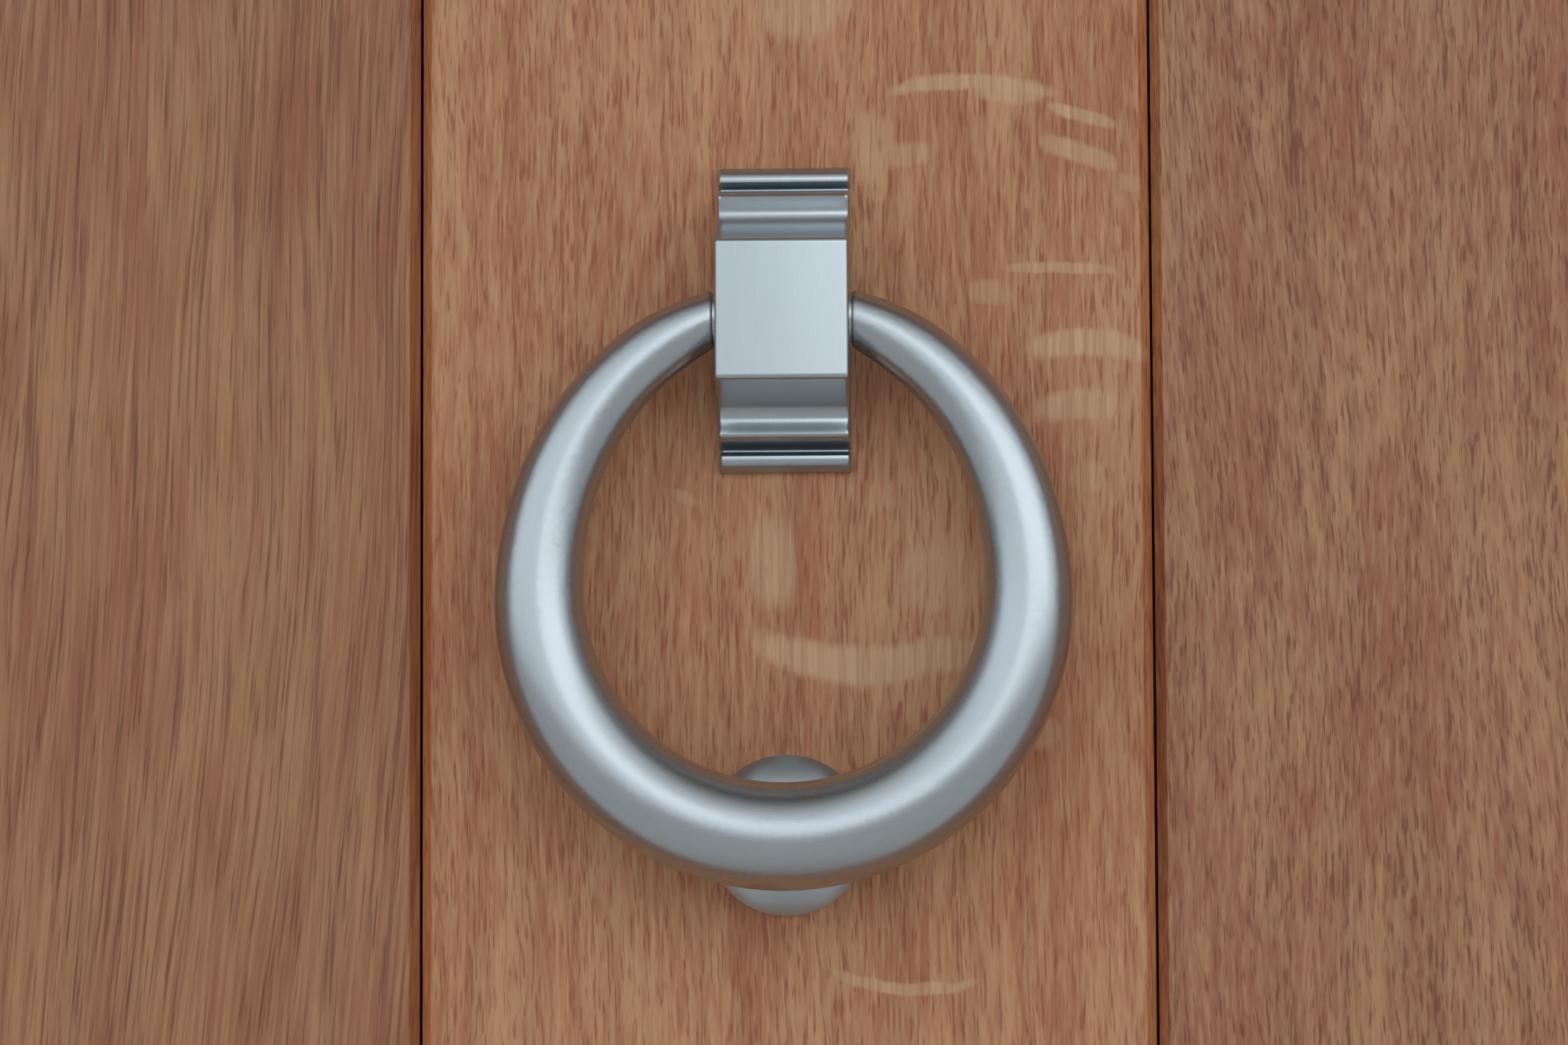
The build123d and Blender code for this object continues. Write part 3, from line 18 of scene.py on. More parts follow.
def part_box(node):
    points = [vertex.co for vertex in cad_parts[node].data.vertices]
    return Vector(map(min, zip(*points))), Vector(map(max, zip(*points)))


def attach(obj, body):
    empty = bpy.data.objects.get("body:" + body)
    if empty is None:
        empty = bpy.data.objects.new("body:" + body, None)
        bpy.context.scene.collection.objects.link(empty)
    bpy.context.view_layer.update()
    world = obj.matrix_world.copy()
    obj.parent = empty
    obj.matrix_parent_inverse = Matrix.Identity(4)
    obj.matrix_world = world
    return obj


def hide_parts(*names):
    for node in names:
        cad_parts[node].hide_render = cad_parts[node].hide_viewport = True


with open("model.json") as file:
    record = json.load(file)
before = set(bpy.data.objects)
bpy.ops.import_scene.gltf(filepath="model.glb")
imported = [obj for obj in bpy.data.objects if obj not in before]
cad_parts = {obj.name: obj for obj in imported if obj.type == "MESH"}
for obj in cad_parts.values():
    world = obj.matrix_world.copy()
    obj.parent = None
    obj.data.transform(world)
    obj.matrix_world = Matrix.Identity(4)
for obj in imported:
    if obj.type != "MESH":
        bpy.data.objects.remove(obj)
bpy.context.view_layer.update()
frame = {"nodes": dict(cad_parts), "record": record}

MM = 0.001
nodes = frame["nodes"]

# %% [markdown]
# ## Helpers for shader nodes
#
# A material is a small network of nodes. Each node can be made, set and wired in lines of its own,
# but then the wiring soon hides the idea of the finish. A few helpers do the same in one call:
# `add` makes a node, sets it and feeds its inputs, and `maths` and `vector_maths` stand for one
# sum each.

# %% Make and feed nodes
def feed(tree, socket, value):
    """Gives a socket a fixed value, or a link from another socket."""
    if isinstance(value, bpy.types.NodeSocket):
        tree.links.new(value, socket)
    else:
        socket.default_value = value


def add(tree, kind, inputs=None, **settings):
    """Adds a node, sets its attributes and feeds its inputs."""
    new = tree.nodes.new(kind)
    for key, value in settings.items():
        setattr(new, key, value)
    for key, value in (inputs or {}).items():
        feed(tree, new.inputs[key], value)
    return new


def maths(tree, operation, a, b=0.0, c=0.0):
    """One Math node, and its result. Only MULTIPLY_ADD, a times b plus c, has a third input."""
    inputs = {0: a, 1: b}
    if operation == "MULTIPLY_ADD":
        inputs[2] = c
    return add(tree, "ShaderNodeMath", inputs, operation=operation).outputs[0]


def vector_maths(tree, operation, a, b):
    """One Vector Math node, and its result."""
    return add(tree, "ShaderNodeVectorMath", {0: a, 1: b}, operation=operation).outputs[0]


print("helpers that make nodes:", [helper.__name__ for helper in (feed, add, maths, vector_maths)])

# %% [markdown]
# ## Noise, ranges and mixing
#
# Noise is the raw material of every finish here. A noise texture repeats at one rate in all
# directions, so the space is stretched before it is read: long along the grain, short across it.
# `span` then picks a range of the noise and makes a mask of it, and `mix` lays one colour over
# another.

# %% Noise and colours
def span(tree, value, low, high, to_low=0.0, to_high=1.0):
    """Maps a range smoothly onto another, and holds it at both ends."""
    return add(tree, "ShaderNodeMapRange", {
        "Value": value, "From Min": low, "From Max": high, "To Min": to_low, "To Max": to_high,
    }, interpolation_type="SMOOTHSTEP").outputs["Result"]


def noise(tree, vector, scale, detail=2.0, roughness=0.5):
    """A noise value from 0 to 1. Scale is a vector: repeats for each unit along each axis."""
    stretched = vector_maths(tree, "MULTIPLY", vector, scale)
    return add(tree, "ShaderNodeTexNoise", {
        "Vector": stretched, "Scale": 1.0, "Detail": detail, "Roughness": roughness,
    }).outputs["Fac"]


def mix(tree, factor, a, b, blend="MIX"):
    """Two colours mixed by a factor."""
    new = add(tree, "ShaderNodeMix", data_type="RGBA", blend_type=blend)
    feed(tree, new.inputs[0], factor)
    feed(tree, new.inputs[6], a)
    feed(tree, new.inputs[7], b)
    return new.outputs[2]


def grey(tree, value):
    """A grey colour from one value, to multiply another colour with."""
    return add(tree, "ShaderNodeCombineColor", {0: value, 1: value, 2: value}).outputs[0]


def rgb(red, green, blue):
    """A colour as a screen gives it, 0 to 255, as the linear colour that shaders work with."""
    channels = [value / 255 for value in (red, green, blue)]
    return (*[c / 12.92 if c <= 0.04045 else ((c + 0.055) / 1.055) ** 2.4 for c in channels], 1.0)


print("screen grey 128 is", round(rgb(128, 128, 128)[0], 3), "in linear light")

# %% [markdown]
# ## Groups and materials
#
# What several materials share, such as the grain of oak, goes into a node group with named
# sockets. It is drawn once and placed in each material with that material's own values. The
# shader itself stays in the material, where its constant values are set on its own sockets.

# %% Groups and materials
def new_group(name, inputs, outputs):
    """A shader node group. Inputs and outputs are (name, kind, value at the start)."""
    group = bpy.data.node_groups.new(name, "ShaderNodeTree")
    for direction, sockets in (("INPUT", inputs), ("OUTPUT", outputs)):
        for label, kind, start in sockets:
            socket = group.interface.new_socket(
                name=label, in_out=direction, socket_type="NodeSocket" + kind)
            if start is not None:
                socket.default_value = start
    entry = group.nodes.new("NodeGroupInput")
    leave = group.nodes.new("NodeGroupOutput")
    return group, entry.outputs, leave.inputs


def place_group(tree, group, inputs):
    """A group inside a material, fed with that material's own values."""
    new = add(tree, "ShaderNodeGroup", node_tree=group)
    for key, value in inputs.items():
        feed(tree, new.inputs[key], value)
    return new.outputs


def new_material(name):
    """An empty material with its shader, ready for a network."""
    material = bpy.data.materials.new(name)
    material.use_nodes = True
    tree = material.node_tree
    shader = tree.nodes["Principled BSDF"]
    return material, tree, shader


fine_relief = 0.1 * MM


def set_relief(tree, shader, height, strength):
    """A Bump node for marks a tenth of a millimetre deep."""
    bump = add(tree, "ShaderNodeBump", {
        "Height": height, "Strength": strength, "Distance": fine_relief,
    })
    feed(tree, shader.inputs["Normal"], bump.outputs[0])


print("relief of fine marks:", fine_relief / MM, "mm")

# %% [markdown]
# ## Oak
#
# Oak has three things that the eye reads as oak. Its pores are long open vessels, which a saw cuts
# into short dark dashes along the grain. They are thickest in the wood that grew in spring, so the
# dashes gather in bands. And where a board is cut towards the middle of the tree, its rays lie open
# as smooth pale flecks across the grain.
#
# The grain could be painted on each face, but a board is cut from a solid, and the grain has to go
# on round its bevels and over its ends. So the pattern is drawn in solid space, in millimetres,
# with the grain along Z. A cut end then shows round pores without any extra work.
#
# No tree grows quite straight. Before anything is drawn, the place across the board is pushed
# aside by two slow noises and leans a little with the height, so that all layers bend together.

# %% Bends of the grain
# Noise scales are repeats for each millimetre across, deep and along the grain
slow_bend_scale = (0.012, 0.02, 0.004)
quick_bend_scale = (0.06, 0.06, 0.012)
slow_bend_size = 6.0
quick_bend_size = 4.0


def bent_grain(tree, given):
    """The place in a board, in millimetres, pushed aside as the board's grain bends."""
    parts = add(tree, "ShaderNodeSeparateXYZ", {0: given["Vector"]}).outputs
    slow = noise(tree, given["Vector"], slow_bend_scale, 1.0)
    quick = noise(tree, given["Vector"], quick_bend_scale, 1.0)
    slow_size = maths(tree, "MULTIPLY", given["Wave"], slow_bend_size)
    across = maths(tree, "MULTIPLY_ADD", slow, slow_size, parts["X"])
    across = maths(tree, "MULTIPLY_ADD", quick, quick_bend_size, across)
    across = maths(tree, "MULTIPLY_ADD", parts["Z"], given["Slant"], across)
    return add(tree, "ShaderNodeCombineXYZ", {0: across, 1: parts["Y"], 2: parts["Z"]}).outputs[0]


print("the grain bends by up to", slow_bend_size, "mm for each unit of Wave")

# %% [markdown]
# ## Pores
#
# A pore that the saw cut open is a dark dash, and where many of them lie in a row they join to a
# long line. Both are a noise stretched along the grain and cut off at a threshold, so that only its
# peaks show. The bands of spring wood are added before the cut, which brings more peaks over it
# there.

# %% Pores and open lines
pores_across = 2.1
pore_cut = (0.74, 0.92)
pores_for_amount = 0.12
pores_for_band = 0.25
line_scale = (1.2, 1.2, 0.022)
line_cut = (0.56, 0.74)


def along_scale(tree, across, length):
    """A noise scale that repeats once for each length along the grain."""
    along = maths(tree, "DIVIDE", 1.0, length)
    return add(tree, "ShaderNodeCombineXYZ", {0: across, 1: across, 2: along}).outputs[0]


def pore_masks(tree, given, grain, bands):
    """Where short pores and long open lines show, from 0 to 1."""
    pore_scale = along_scale(tree, pores_across, given["Pore length"])
    pore_noise = noise(tree, grain, pore_scale, 1.0, 0.4)
    amount = maths(tree, "MULTIPLY", given["Pore amount"], pores_for_amount)
    crowd = maths(tree, "MULTIPLY_ADD", bands, pores_for_band, amount)
    pores = span(tree, maths(tree, "ADD", pore_noise, crowd), *pore_cut)
    lines = span(tree, noise(tree, grain, line_scale, 1.0, 0.4), *line_cut)
    return pores, maths(tree, "MULTIPLY", lines, given["Line amount"])


print("a pore is about", round(0.5 / pores_across, 2), "mm wide")

# %% [markdown]
# ## The grain
#
# Now the layers meet in one group. Broad patches and soft fibres choose between a pale and a warm
# brown, bands and fine hairs shade it by a few percent, and the pores go on last, in their own
# colour. Pores are rougher than the wood and lie below it, so they also feed the roughness and the
# relief.

# %% The grain of oak
patch_scale = (0.06, 0.06, 0.012)
band_scale = (0.3, 0.1, 0.008)
hair_scale = (3.0, 3.0, 0.28)
fibres_across = 1.05
fibre_share = 0.6
patch_share = 0.5
warm_range = (0.38, 0.72)
# Each from a range of the noise, to a range of shade or roughness
band_shading = (0.3, 0.7, 1.04, 0.93)
hair_shading = (0.2, 0.8, 0.94, 1.06)
fibre_gloss = (0.3, 0.7, 0.44, 0.54)
pore_cover = 0.62
pore_roughness = 0.12
hair_height = 0.25


def build_oak_grain():
    """The group that draws oak from a place in millimetres."""
    tree, given, result = new_group(
        "oak_grain",
        [
            ("Vector", "Vector", None),
            ("Pale", "Color", rgb(188, 140, 106)),
            ("Warm", "Color", rgb(164, 108, 80)),
            ("Pore", "Color", rgb(122, 66, 46)),
            ("Wave", "Float", 3.0),
            ("Slant", "Float", 0.0),
            ("Fibre length", "Float", 18.0),
            ("Pore length", "Float", 6.0),
            ("Pore amount", "Float", 0.5),
            ("Line amount", "Float", 0.3),
        ],
        [("Color", "Color", None), ("Roughness", "Float", None), ("Height", "Float", None)],
    )
    grain = bent_grain(tree, given)
    patch = noise(tree, grain, patch_scale, 2.0, 0.6)
    bands = noise(tree, grain, band_scale, 2.0, 0.6)
    fibre_scale = along_scale(tree, fibres_across, given["Fibre length"])
    fibre = noise(tree, grain, fibre_scale, 2.0, 0.55)
    hair = noise(tree, grain, hair_scale, 1.0)
    pores, lines = pore_masks(tree, given, grain, bands)

    patch_part = maths(tree, "MULTIPLY", patch, patch_share)
    warmth = maths(tree, "MULTIPLY_ADD", fibre, fibre_share, patch_part)
    colour = mix(tree, span(tree, warmth, *warm_range), given["Pale"], given["Warm"])
    band_shade = span(tree, bands, *band_shading)
    hair_shade = span(tree, hair, *hair_shading)
    shade = grey(tree, maths(tree, "MULTIPLY", band_shade, hair_shade))
    colour = mix(tree, 1.0, colour, shade, "MULTIPLY")
    colour = mix(tree, lines, colour, given["Pore"])
    colour = mix(tree, maths(tree, "MULTIPLY", pores, pore_cover), colour, given["Pore"])
    feed(tree, result["Color"], colour)

    gloss = span(tree, fibre, *fibre_gloss)
    feed(tree, result["Roughness"], maths(tree, "MULTIPLY_ADD", pores, pore_roughness, gloss))
    hairs = maths(tree, "MULTIPLY", hair, hair_height)
    feed(tree, result["Height"], maths(tree, "SUBTRACT", hairs, pores))
    return tree


oak_grain = build_oak_grain()
print("group", oak_grain.name, "with", len(oak_grain.nodes), "nodes")

# %% [markdown]
# ## Ray flecks
#
# A fleck is one patch of a ray: smooth, a little yellower than the wood beside it, without pores.
# Its long edges are soft and wander, and its ends stop short at a growth ring. Voronoi cells would
# give patches too, but all over the board and of one kind, and real flecks are few and each lies
# its own way. So the group draws one oval patch from its centre, its half length and half
# thickness, its tilt and its bend, and a material places it as often as it needs and keeps the
# strongest. The wander of the edges comes in from outside: one noise then serves all the flecks.

# %% One ray fleck
fleck_fade = (1.5, 0.3)
end_squareness = 4.0


def build_ray_fleck():
    """The group that draws one fleck as a mask."""
    tree, given, result = new_group(
        "ray_fleck",
        [
            ("Vector", "Vector", None),
            ("Ragged", "Float", 0.0),
            ("Centre", "Vector", None),
            ("Half length", "Float", 12.0),
            ("Half thickness", "Float", 1.6),
            ("Tilt", "Float", 0.0),
            ("Bend", "Float", 0.0),
            ("Strength", "Float", 1.0),
        ],
        [("Mask", "Float", None)],
    )
    local = vector_maths(tree, "SUBTRACT", given["Vector"], given["Centre"])
    parts = add(tree, "ShaderNodeSeparateXYZ", {0: local}).outputs
    x, z = parts["X"], parts["Z"]
    tilted = maths(tree, "MULTIPLY", x, given["Tilt"])
    bent = maths(tree, "MULTIPLY", maths(tree, "MULTIPLY", x, x), given["Bend"])
    rise = maths(tree, "SUBTRACT", maths(tree, "SUBTRACT", z, tilted), bent)
    rise = maths(tree, "ADD", rise, given["Ragged"])
    along = maths(tree, "ABSOLUTE", maths(tree, "DIVIDE", x, given["Half length"]))
    over = maths(tree, "ABSOLUTE", maths(tree, "DIVIDE", rise, given["Half thickness"]))
    ends = maths(tree, "POWER", along, end_squareness)
    edges = maths(tree, "MULTIPLY", over, over)
    mask = span(tree, maths(tree, "ADD", ends, edges), *fleck_fade)
    feed(tree, result["Mask"], maths(tree, "MULTIPLY", mask, given["Strength"]))
    return tree


ray_fleck = build_ray_fleck()
print("group", ray_fleck.name, "with", len(ray_fleck.nodes), "nodes")

# %% [markdown]
# ## Painted shade at the edges of a board
#
# The boards meet in a small V: both edges are bevelled, and behind the bevels is a gap with the
# tongue in it. Shade falls there, so the colour of a bevel is painted darker and redder than the
# face, as painted shade, and the gap is painted nearly black, as painted shadow. An ambient
# occlusion node would darken the gap too, but it is slow and can't tell a bevel from a face. The
# place of each board is known, so the group works from the distance to the board's middle and the
# depth behind its face.

# %% Painted shade at board edges
# Painted shade on a bevel and painted shadow in the gap: colours that the wood is multiplied by
painted_bevel_shade = (0.9, 0.7, 0.55, 1.0)
painted_gap_shade = (0.2, 0.14, 0.12, 1.0)
# In millimetres: the blur of a bevel's border, and where the gap begins behind it and beside it
edge_blur = 0.15
gap_depths = (-0.3, 0.6)
gap_sides = (0.6, 0.3)


def build_painted_edge_shade():
    """The group that paints shade on a board's bevels and shadow in the gap behind them."""
    tree, given, result = new_group(
        "painted_edge_shade",
        [
            ("Vector", "Vector", None),
            ("Color", "Color", None),
            ("Middle", "Float", 0.0),
            ("Half width", "Float", 72.2),
            ("Bevel", "Float", 1.8),
            ("Face", "Float", 0.0),
            ("Tint", "Color", painted_bevel_shade),
        ],
        [("Color", "Color", None)],
    )
    parts = add(tree, "ShaderNodeSeparateXYZ", {0: given["Vector"]}).outputs
    off_middle = maths(tree, "ABSOLUTE", maths(tree, "SUBTRACT", parts["X"], given["Middle"]))
    inside = maths(tree, "SUBTRACT", given["Half width"], off_middle)
    depth = maths(tree, "SUBTRACT", parts["Y"], given["Face"])
    limit = maths(tree, "ADD", given["Bevel"], edge_blur)
    at_edge = span(tree, maths(tree, "SUBTRACT", inside, limit), edge_blur, -edge_blur)
    behind = span(tree, maths(tree, "SUBTRACT", depth, limit), *gap_depths)
    in_gap = maths(tree, "MULTIPLY", behind, span(tree, inside, *gap_sides))
    shaded_bevel_colour = mix(tree, 1.0, given["Color"], given["Tint"], "MULTIPLY")
    shaded_gap_colour = mix(tree, 1.0, given["Color"], painted_gap_shade, "MULTIPLY")
    colour = mix(tree, at_edge, given["Color"], shaded_bevel_colour)
    feed(tree, result["Color"], mix(tree, in_gap, colour, shaded_gap_colour))
    return tree


painted_edge_shade = build_painted_edge_shade()
print("group", painted_edge_shade.name, "with", len(painted_edge_shade.nodes), "nodes")

# %% [markdown]
# ## Measures from the frame
#
# The finishes have to meet the pieces, so their places are worked out from the pieces themselves:
# the height of the knocker's bracket, the plane of the boards' faces and the width that one board
# covers. Only the gap between two boards is given, because their boxes overlap at the tongue.

# %% Measures
bracket_low, bracket_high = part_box("knocker_bracket")
bracket_z = (bracket_low.z + bracket_high.z) / 2
face_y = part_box("board_3")[0].y
board_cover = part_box("board_3")[0].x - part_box("board_2")[0].x
half_gap = 0.275 * MM  # half of the gap that shows between two boards
print("bracket's middle at", round(bracket_z, 4), "board face at", round(face_y, 4))


def millimetre_space(tree, turn=(0.0, 0.0, 0.0), shift=(0.0, 0.0, 0.0)):
    """Object coordinates in millimetres, turned so that the grain or the rubbing runs along Z."""
    coordinates = add(tree, "ShaderNodeTexCoord").outputs["Object"]
    scale = (1 / MM, 1 / MM, 1 / MM)
    return add(tree, "ShaderNodeMapping", {
        "Vector": coordinates, "Location": shift, "Rotation": turn, "Scale": scale,
    }).outputs[0]


# %% [markdown]
# ## Flecks and painted edge shade over the grain
#
# Two layers lie over the grain of a board. Its flecks are placed one by one, and where two of them
# meet the stronger one shows. They aren't even inside, so fine streaks along the board mix a darker
# and a paler colour. The painted shade of the edges comes last, because it darkens whatever lies on
# a bevel.

# %% Flecks and edges
wander_scale = (0.1, 0.1, 0.05)
wander_size = 2.8
streak_scale = (1.6, 1.6, 0.03)
streak_range = (0.3, 0.7)
streak_colours = (rgb(180, 142, 108), rgb(208, 170, 132))
fleck_cover = 0.9
middle_board = 3


def fleck_layer(tree, flecks, colour):
    """Lays a board's flecks over its grain."""
    here = millimetre_space(tree, shift=(0, 0, -bracket_z / MM))
    wander = noise(tree, here, wander_scale, 2.0, 0.6)
    ragged = maths(tree, "MULTIPLY_ADD", wander, wander_size, -wander_size / 2)
    mask = 0.0
    for x, z, length, thickness, tilt, bend, strength in flecks:
        one = place_group(tree, ray_fleck, {
            "Vector": here, "Ragged": ragged, "Centre": (x, 0, z), "Half length": length / 2,
            "Half thickness": thickness / 2, "Tilt": tilt, "Bend": bend, "Strength": strength,
        })["Mask"]
        mask = maths(tree, "MAXIMUM", mask, one)
    streak = span(tree, noise(tree, here, streak_scale, 2.0), *streak_range)
    fleck_colour = mix(tree, streak, *streak_colours)
    return mix(tree, maths(tree, "MULTIPLY", mask, fleck_cover), colour, fleck_colour)


def edge_shade_layer(tree, board, colour):
    """Paints shade on the bevels of a board and shadow in its gap. The board is counted from the
    hinge side.
    """
    return place_group(tree, painted_edge_shade, {
        "Vector": millimetre_space(tree), "Color": colour, "Face": face_y / MM,
        "Middle": (board - middle_board) * board_cover / MM,
        "Half width": (board_cover / 2 - half_gap) / MM,
    })["Color"]


print("one board covers", round(board_cover / MM, 1), "mm")

# %% [markdown]
# ## Oiled oak
#
# One recipe makes all the oak. The grain group is placed in a space that is turned and shifted for
# the piece, and the layers go on top of it where they are wanted. The wood was oiled and not
# varnished, so its gloss is soft: the shader's specular level is low, and the roughness changes
# with the fibres and the pores.

# %% Oak materials
oiled_gloss = 0.3
oak_relief = 0.4


def oak_material(name, turn=(0, 0, 0), shift=(0, 0, 0), flecks=(), board=None, **values):
    """Oiled oak. The named values go to the grain group."""
    material, tree, shader = new_material(name)
    space = millimetre_space(tree, turn, shift)
    oak = place_group(tree, oak_grain, {"Vector": space, **values})
    colour = oak["Color"]
    if flecks:
        colour = fleck_layer(tree, flecks, colour)
    # Painted shade on the bevels and painted shadow in the gaps between boards
    if board is not None:
        colour = edge_shade_layer(tree, board, colour)
    feed(tree, shader.inputs["Base Color"], colour)
    feed(tree, shader.inputs["Roughness"], oak["Roughness"])
    set_relief(tree, shader, oak["Height"], oak_relief)
    shader.inputs["Specular IOR Level"].default_value = oiled_gloss
    return material


def dress(material, *names):
    """Gives pieces a material in place of the one that they came with."""
    for name in names:
        nodes[name].data.materials.clear()
        nodes[name].data.materials.append(material)


print("oak's specular level:", oiled_gloss)

# %% [markdown]
# ## The flecks near the knocker
#
# These are the marks by which one knows this board again, so they aren't left to chance. Each is
# listed, in millimetres from the middle of the knocker's bracket: x to the right and z up. A
# tilt is the rise for each millimetre to the right, and a bend curls the ends up or down.

# %% Flecks near the knocker
# Each fleck: x, z, length, thickness, tilt, bend, strength
knocker_flecks = [
    (3.0, 62.5, 17.0, 13.0, 0.0, 0.02, 0.6),
    (37.5, 47.6, 33.0, 3.4, -0.02, -0.008, 0.85),
    (44.6, 46.0, 14.0, 5.0, -0.03, 0.0, 0.75),
    (59.2, 40.6, 13.6, 2.7, -0.3, 0.0, 0.85),
    (58.4, 33.2, 15.0, 4.6, -0.33, 0.0, 0.75),
    (68.5, 27.0, 5.5, 3.6, -0.2, 0.0, 0.35),
    (16.8, 34.6, 7.0, 14.0, 0.0, 0.0, 0.35),
    (22.0, 32.5, 15.0, 5.0, 0.1, 0.0, 0.45),
    (54.5, 10.0, 22.0, 2.3, -0.05, -0.004, 0.7),
    (40.6, 5.2, 9.0, 5.0, -0.1, 0.0, 0.5),
    (60.0, -4.6, 24.0, 5.2, -0.06, -0.012, 0.85),
    (58.0, -17.0, 16.0, 6.4, 0.0, -0.006, 0.75),
    (60.0, -31.5, 6.2, 6.2, 0.0, 0.0, 0.4),
    (-2.6, -47.9, 9.6, 19.0, 0.0, 0.0, 0.75),
    (14.5, -68.6, 44.0, 7.6, -0.02, 0.011, 0.9),
    (30.0, -66.4, 17.0, 7.0, 0.12, 0.0, 0.85),
    (30.0, -51.5, 16.5, 13.5, 0.0, 0.0, 0.4),
    (-20.0, -34.8, 5.0, 2.6, -0.3, 0.0, 0.4),
    (49.5, -82.0, 9.0, 6.0, 0.1, 0.0, 0.45),
    (22.4, -132.0, 28.6, 2.6, -0.07, 0.012, 0.75),
    (-35.0, -117.0, 14.0, 3.4, -2.0, 0.0, 0.2),
    (-15.6, -123.5, 12.0, 3.4, -2.0, 0.0, 0.2),
]
print("flecks:", len(knocker_flecks))

# %% [markdown]
# ## The boards
#
# The camera looks at the middle board and at the edges of its two neighbours. Each board was cut
# from another tree, so each gets its own values: the left one has long lines that lean a little,
# the middle one short pores and the flecks, the right one shorter pores that lean the other way. A
# shift takes each board to another part of the noise, or all five would show the same bends.

# %% The five boards
plain_board = {"Wave": 5.0, "Line amount": 0.5, "Pore length": 8.0}
left_board = {
    "Pale": rgb(171, 123, 90), "Warm": rgb(149, 95, 68), "Pore": rgb(108, 58, 40),
    "Wave": 4.0, "Slant": -0.05, "Line amount": 0.55,
    "Fibre length": 30.0, "Pore length": 14.0, "Pore amount": 0.35,
}
flecked_board = {
    "Pale": rgb(191, 142, 104), "Warm": rgb(168, 108, 75), "Pore": rgb(140, 71, 48),
    "Wave": 2.0, "Line amount": 0.15,
    "Fibre length": 10.0, "Pore length": 5.5, "Pore amount": 0.62,
}
right_board = {
    "Pale": rgb(176, 129, 96), "Warm": rgb(150, 95, 69), "Pore": rgb(112, 58, 41),
    "Wave": 3.0, "Slant": 0.05, "Line amount": 0.15,
    "Fibre length": 8.0, "Pore length": 4.5, "Pore amount": 0.7,
}
wavy_board = {"Wave": 6.0, "Line amount": 0.5, "Pore length": 7.0}
boards = [
    (plain_board, (0, 40, 300)), (left_board, (300, 0, 0)), (flecked_board, (0, 0, 0)),
    (right_board, (700, 0, 0)), (wavy_board, (1100, 0, 500)),
]
for board, (values, shift) in enumerate(boards, start=1):
    flecks = knocker_flecks if board == middle_board else ()
    finish = oak_material(f"oak_board_{board}", shift=shift, flecks=flecks, board=board, **values)
    dress(finish, f"board_{board}")
print("boards dressed:", len(boards))

# %% [markdown]
# ## The framing and the frame
#
# Stiles and jambs stand, rails, head and sill lie, and the braces lean. Each piece is its own
# length of oak, so each gets the same recipe turned along its own grain and moved to another part
# of the noise. One material for all of them would run the grain across half of the pieces. The
# pegs run through the leaf, so their round ends show end grain.

# %% Oak of the framing
quarter = math.radians(90)
standing = (0, 0, 0)
lying = (0, quarter, 0)
leaning = (0, math.radians(-35), 0)
through = (quarter, 0, 0)
grain_turns = {
    "hinge_stile": standing, "lock_stile": standing, "hinge_jamb": standing,
    "lock_jamb": standing, "top_rail": lying, "lock_rail": lying, "bottom_rail": lying,
    "sill": lying, "head": lying, "weatherboard": lying, "upper_brace": leaning,
    "lower_brace": leaning, "leaf_pegs": through,
}
shift_step = Vector((211, 97, 403))
peg_values = {"Pale": rgb(150, 106, 80), "Warm": rgb(132, 86, 62), "Wave": 1.0}
for index, (name, turn) in enumerate(grain_turns.items()):
    values = {"Wave": 4.0, "Line amount": 0.45}
    if name == "leaf_pegs":
        values.update(peg_values)
    dress(oak_material(f"oak_{name}", turn=turn, shift=shift_step * index, **values), name)
print("oak pieces:", len(boards) + len(grain_turns))

# %% [markdown]
# ## Metal, paint and rubber
#
# The knocker is satin steel: it was rubbed with a fine abrasive in one direction, which spreads a
# highlight into a soft band and leaves hair lines. An anisotropic shader spreads the highlight
# too, but shows no lines. A noise stretched along the rubbing gives both, as a small change of
# roughness and colour and a very low relief. Paint and rubber have marks of the same kind, so they
# use the same group with other values.

# %% Marks of rubbing
fine_scale = (4.0, 4.0, 0.25)
broad_scale = (0.3, 0.3, 0.05)
fine_share = 0.6
# From this range of the noise, to this range of shade
mark_shading = (0.25, 0.75, 0.92, 1.0)


def build_brushed():
    """The group that draws the marks of rubbing, along Z."""
    tree, given, result = new_group(
        "brushed",
        [
            ("Vector", "Vector", None),
            ("Roughness", "Float", 0.3),
            ("Spread", "Float", 0.06),
        ],
        [("Roughness", "Float", None), ("Height", "Float", None), ("Shade", "Float", None)],
    )
    fine = noise(tree, given["Vector"], fine_scale, 2.0, 0.6)
    broad = noise(tree, given["Vector"], broad_scale, 2.0, 0.5)
    broad_part = maths(tree, "MULTIPLY", broad, 1 - fine_share)
    both = maths(tree, "MULTIPLY_ADD", fine, fine_share, broad_part)
    off_middle = maths(tree, "SUBTRACT", both, 0.5)
    swing = maths(tree, "MULTIPLY", off_middle, 2.0)
    change = maths(tree, "MULTIPLY", swing, given["Spread"])
    feed(tree, result["Roughness"], maths(tree, "ADD", change, given["Roughness"]))
    feed(tree, result["Height"], fine)
    feed(tree, result["Shade"], span(tree, both, *mark_shading))
    return tree


brushed = build_brushed()
print("group", brushed.name, "with", len(brushed.nodes), "nodes")

# %% [markdown]
# ## Space round the ring
#
# On the ring the rubbing follows the ring round. A pattern along Z would cross it at the top and
# at the bottom, so the ring's material first bends space into a circle: a place is given by its
# radius, its depth and the length of arc from the ring's lowest point.

# %% Space round the ring
# In millimetres: the ring's middle above the button's, and the radius that arcs are measured at
ring_rise = 47.3
arc_radius = 47.0
button_low, button_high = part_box("striker_button")
ring_middle = (0, 0, (button_low.z + button_high.z) / 2 / MM + ring_rise)


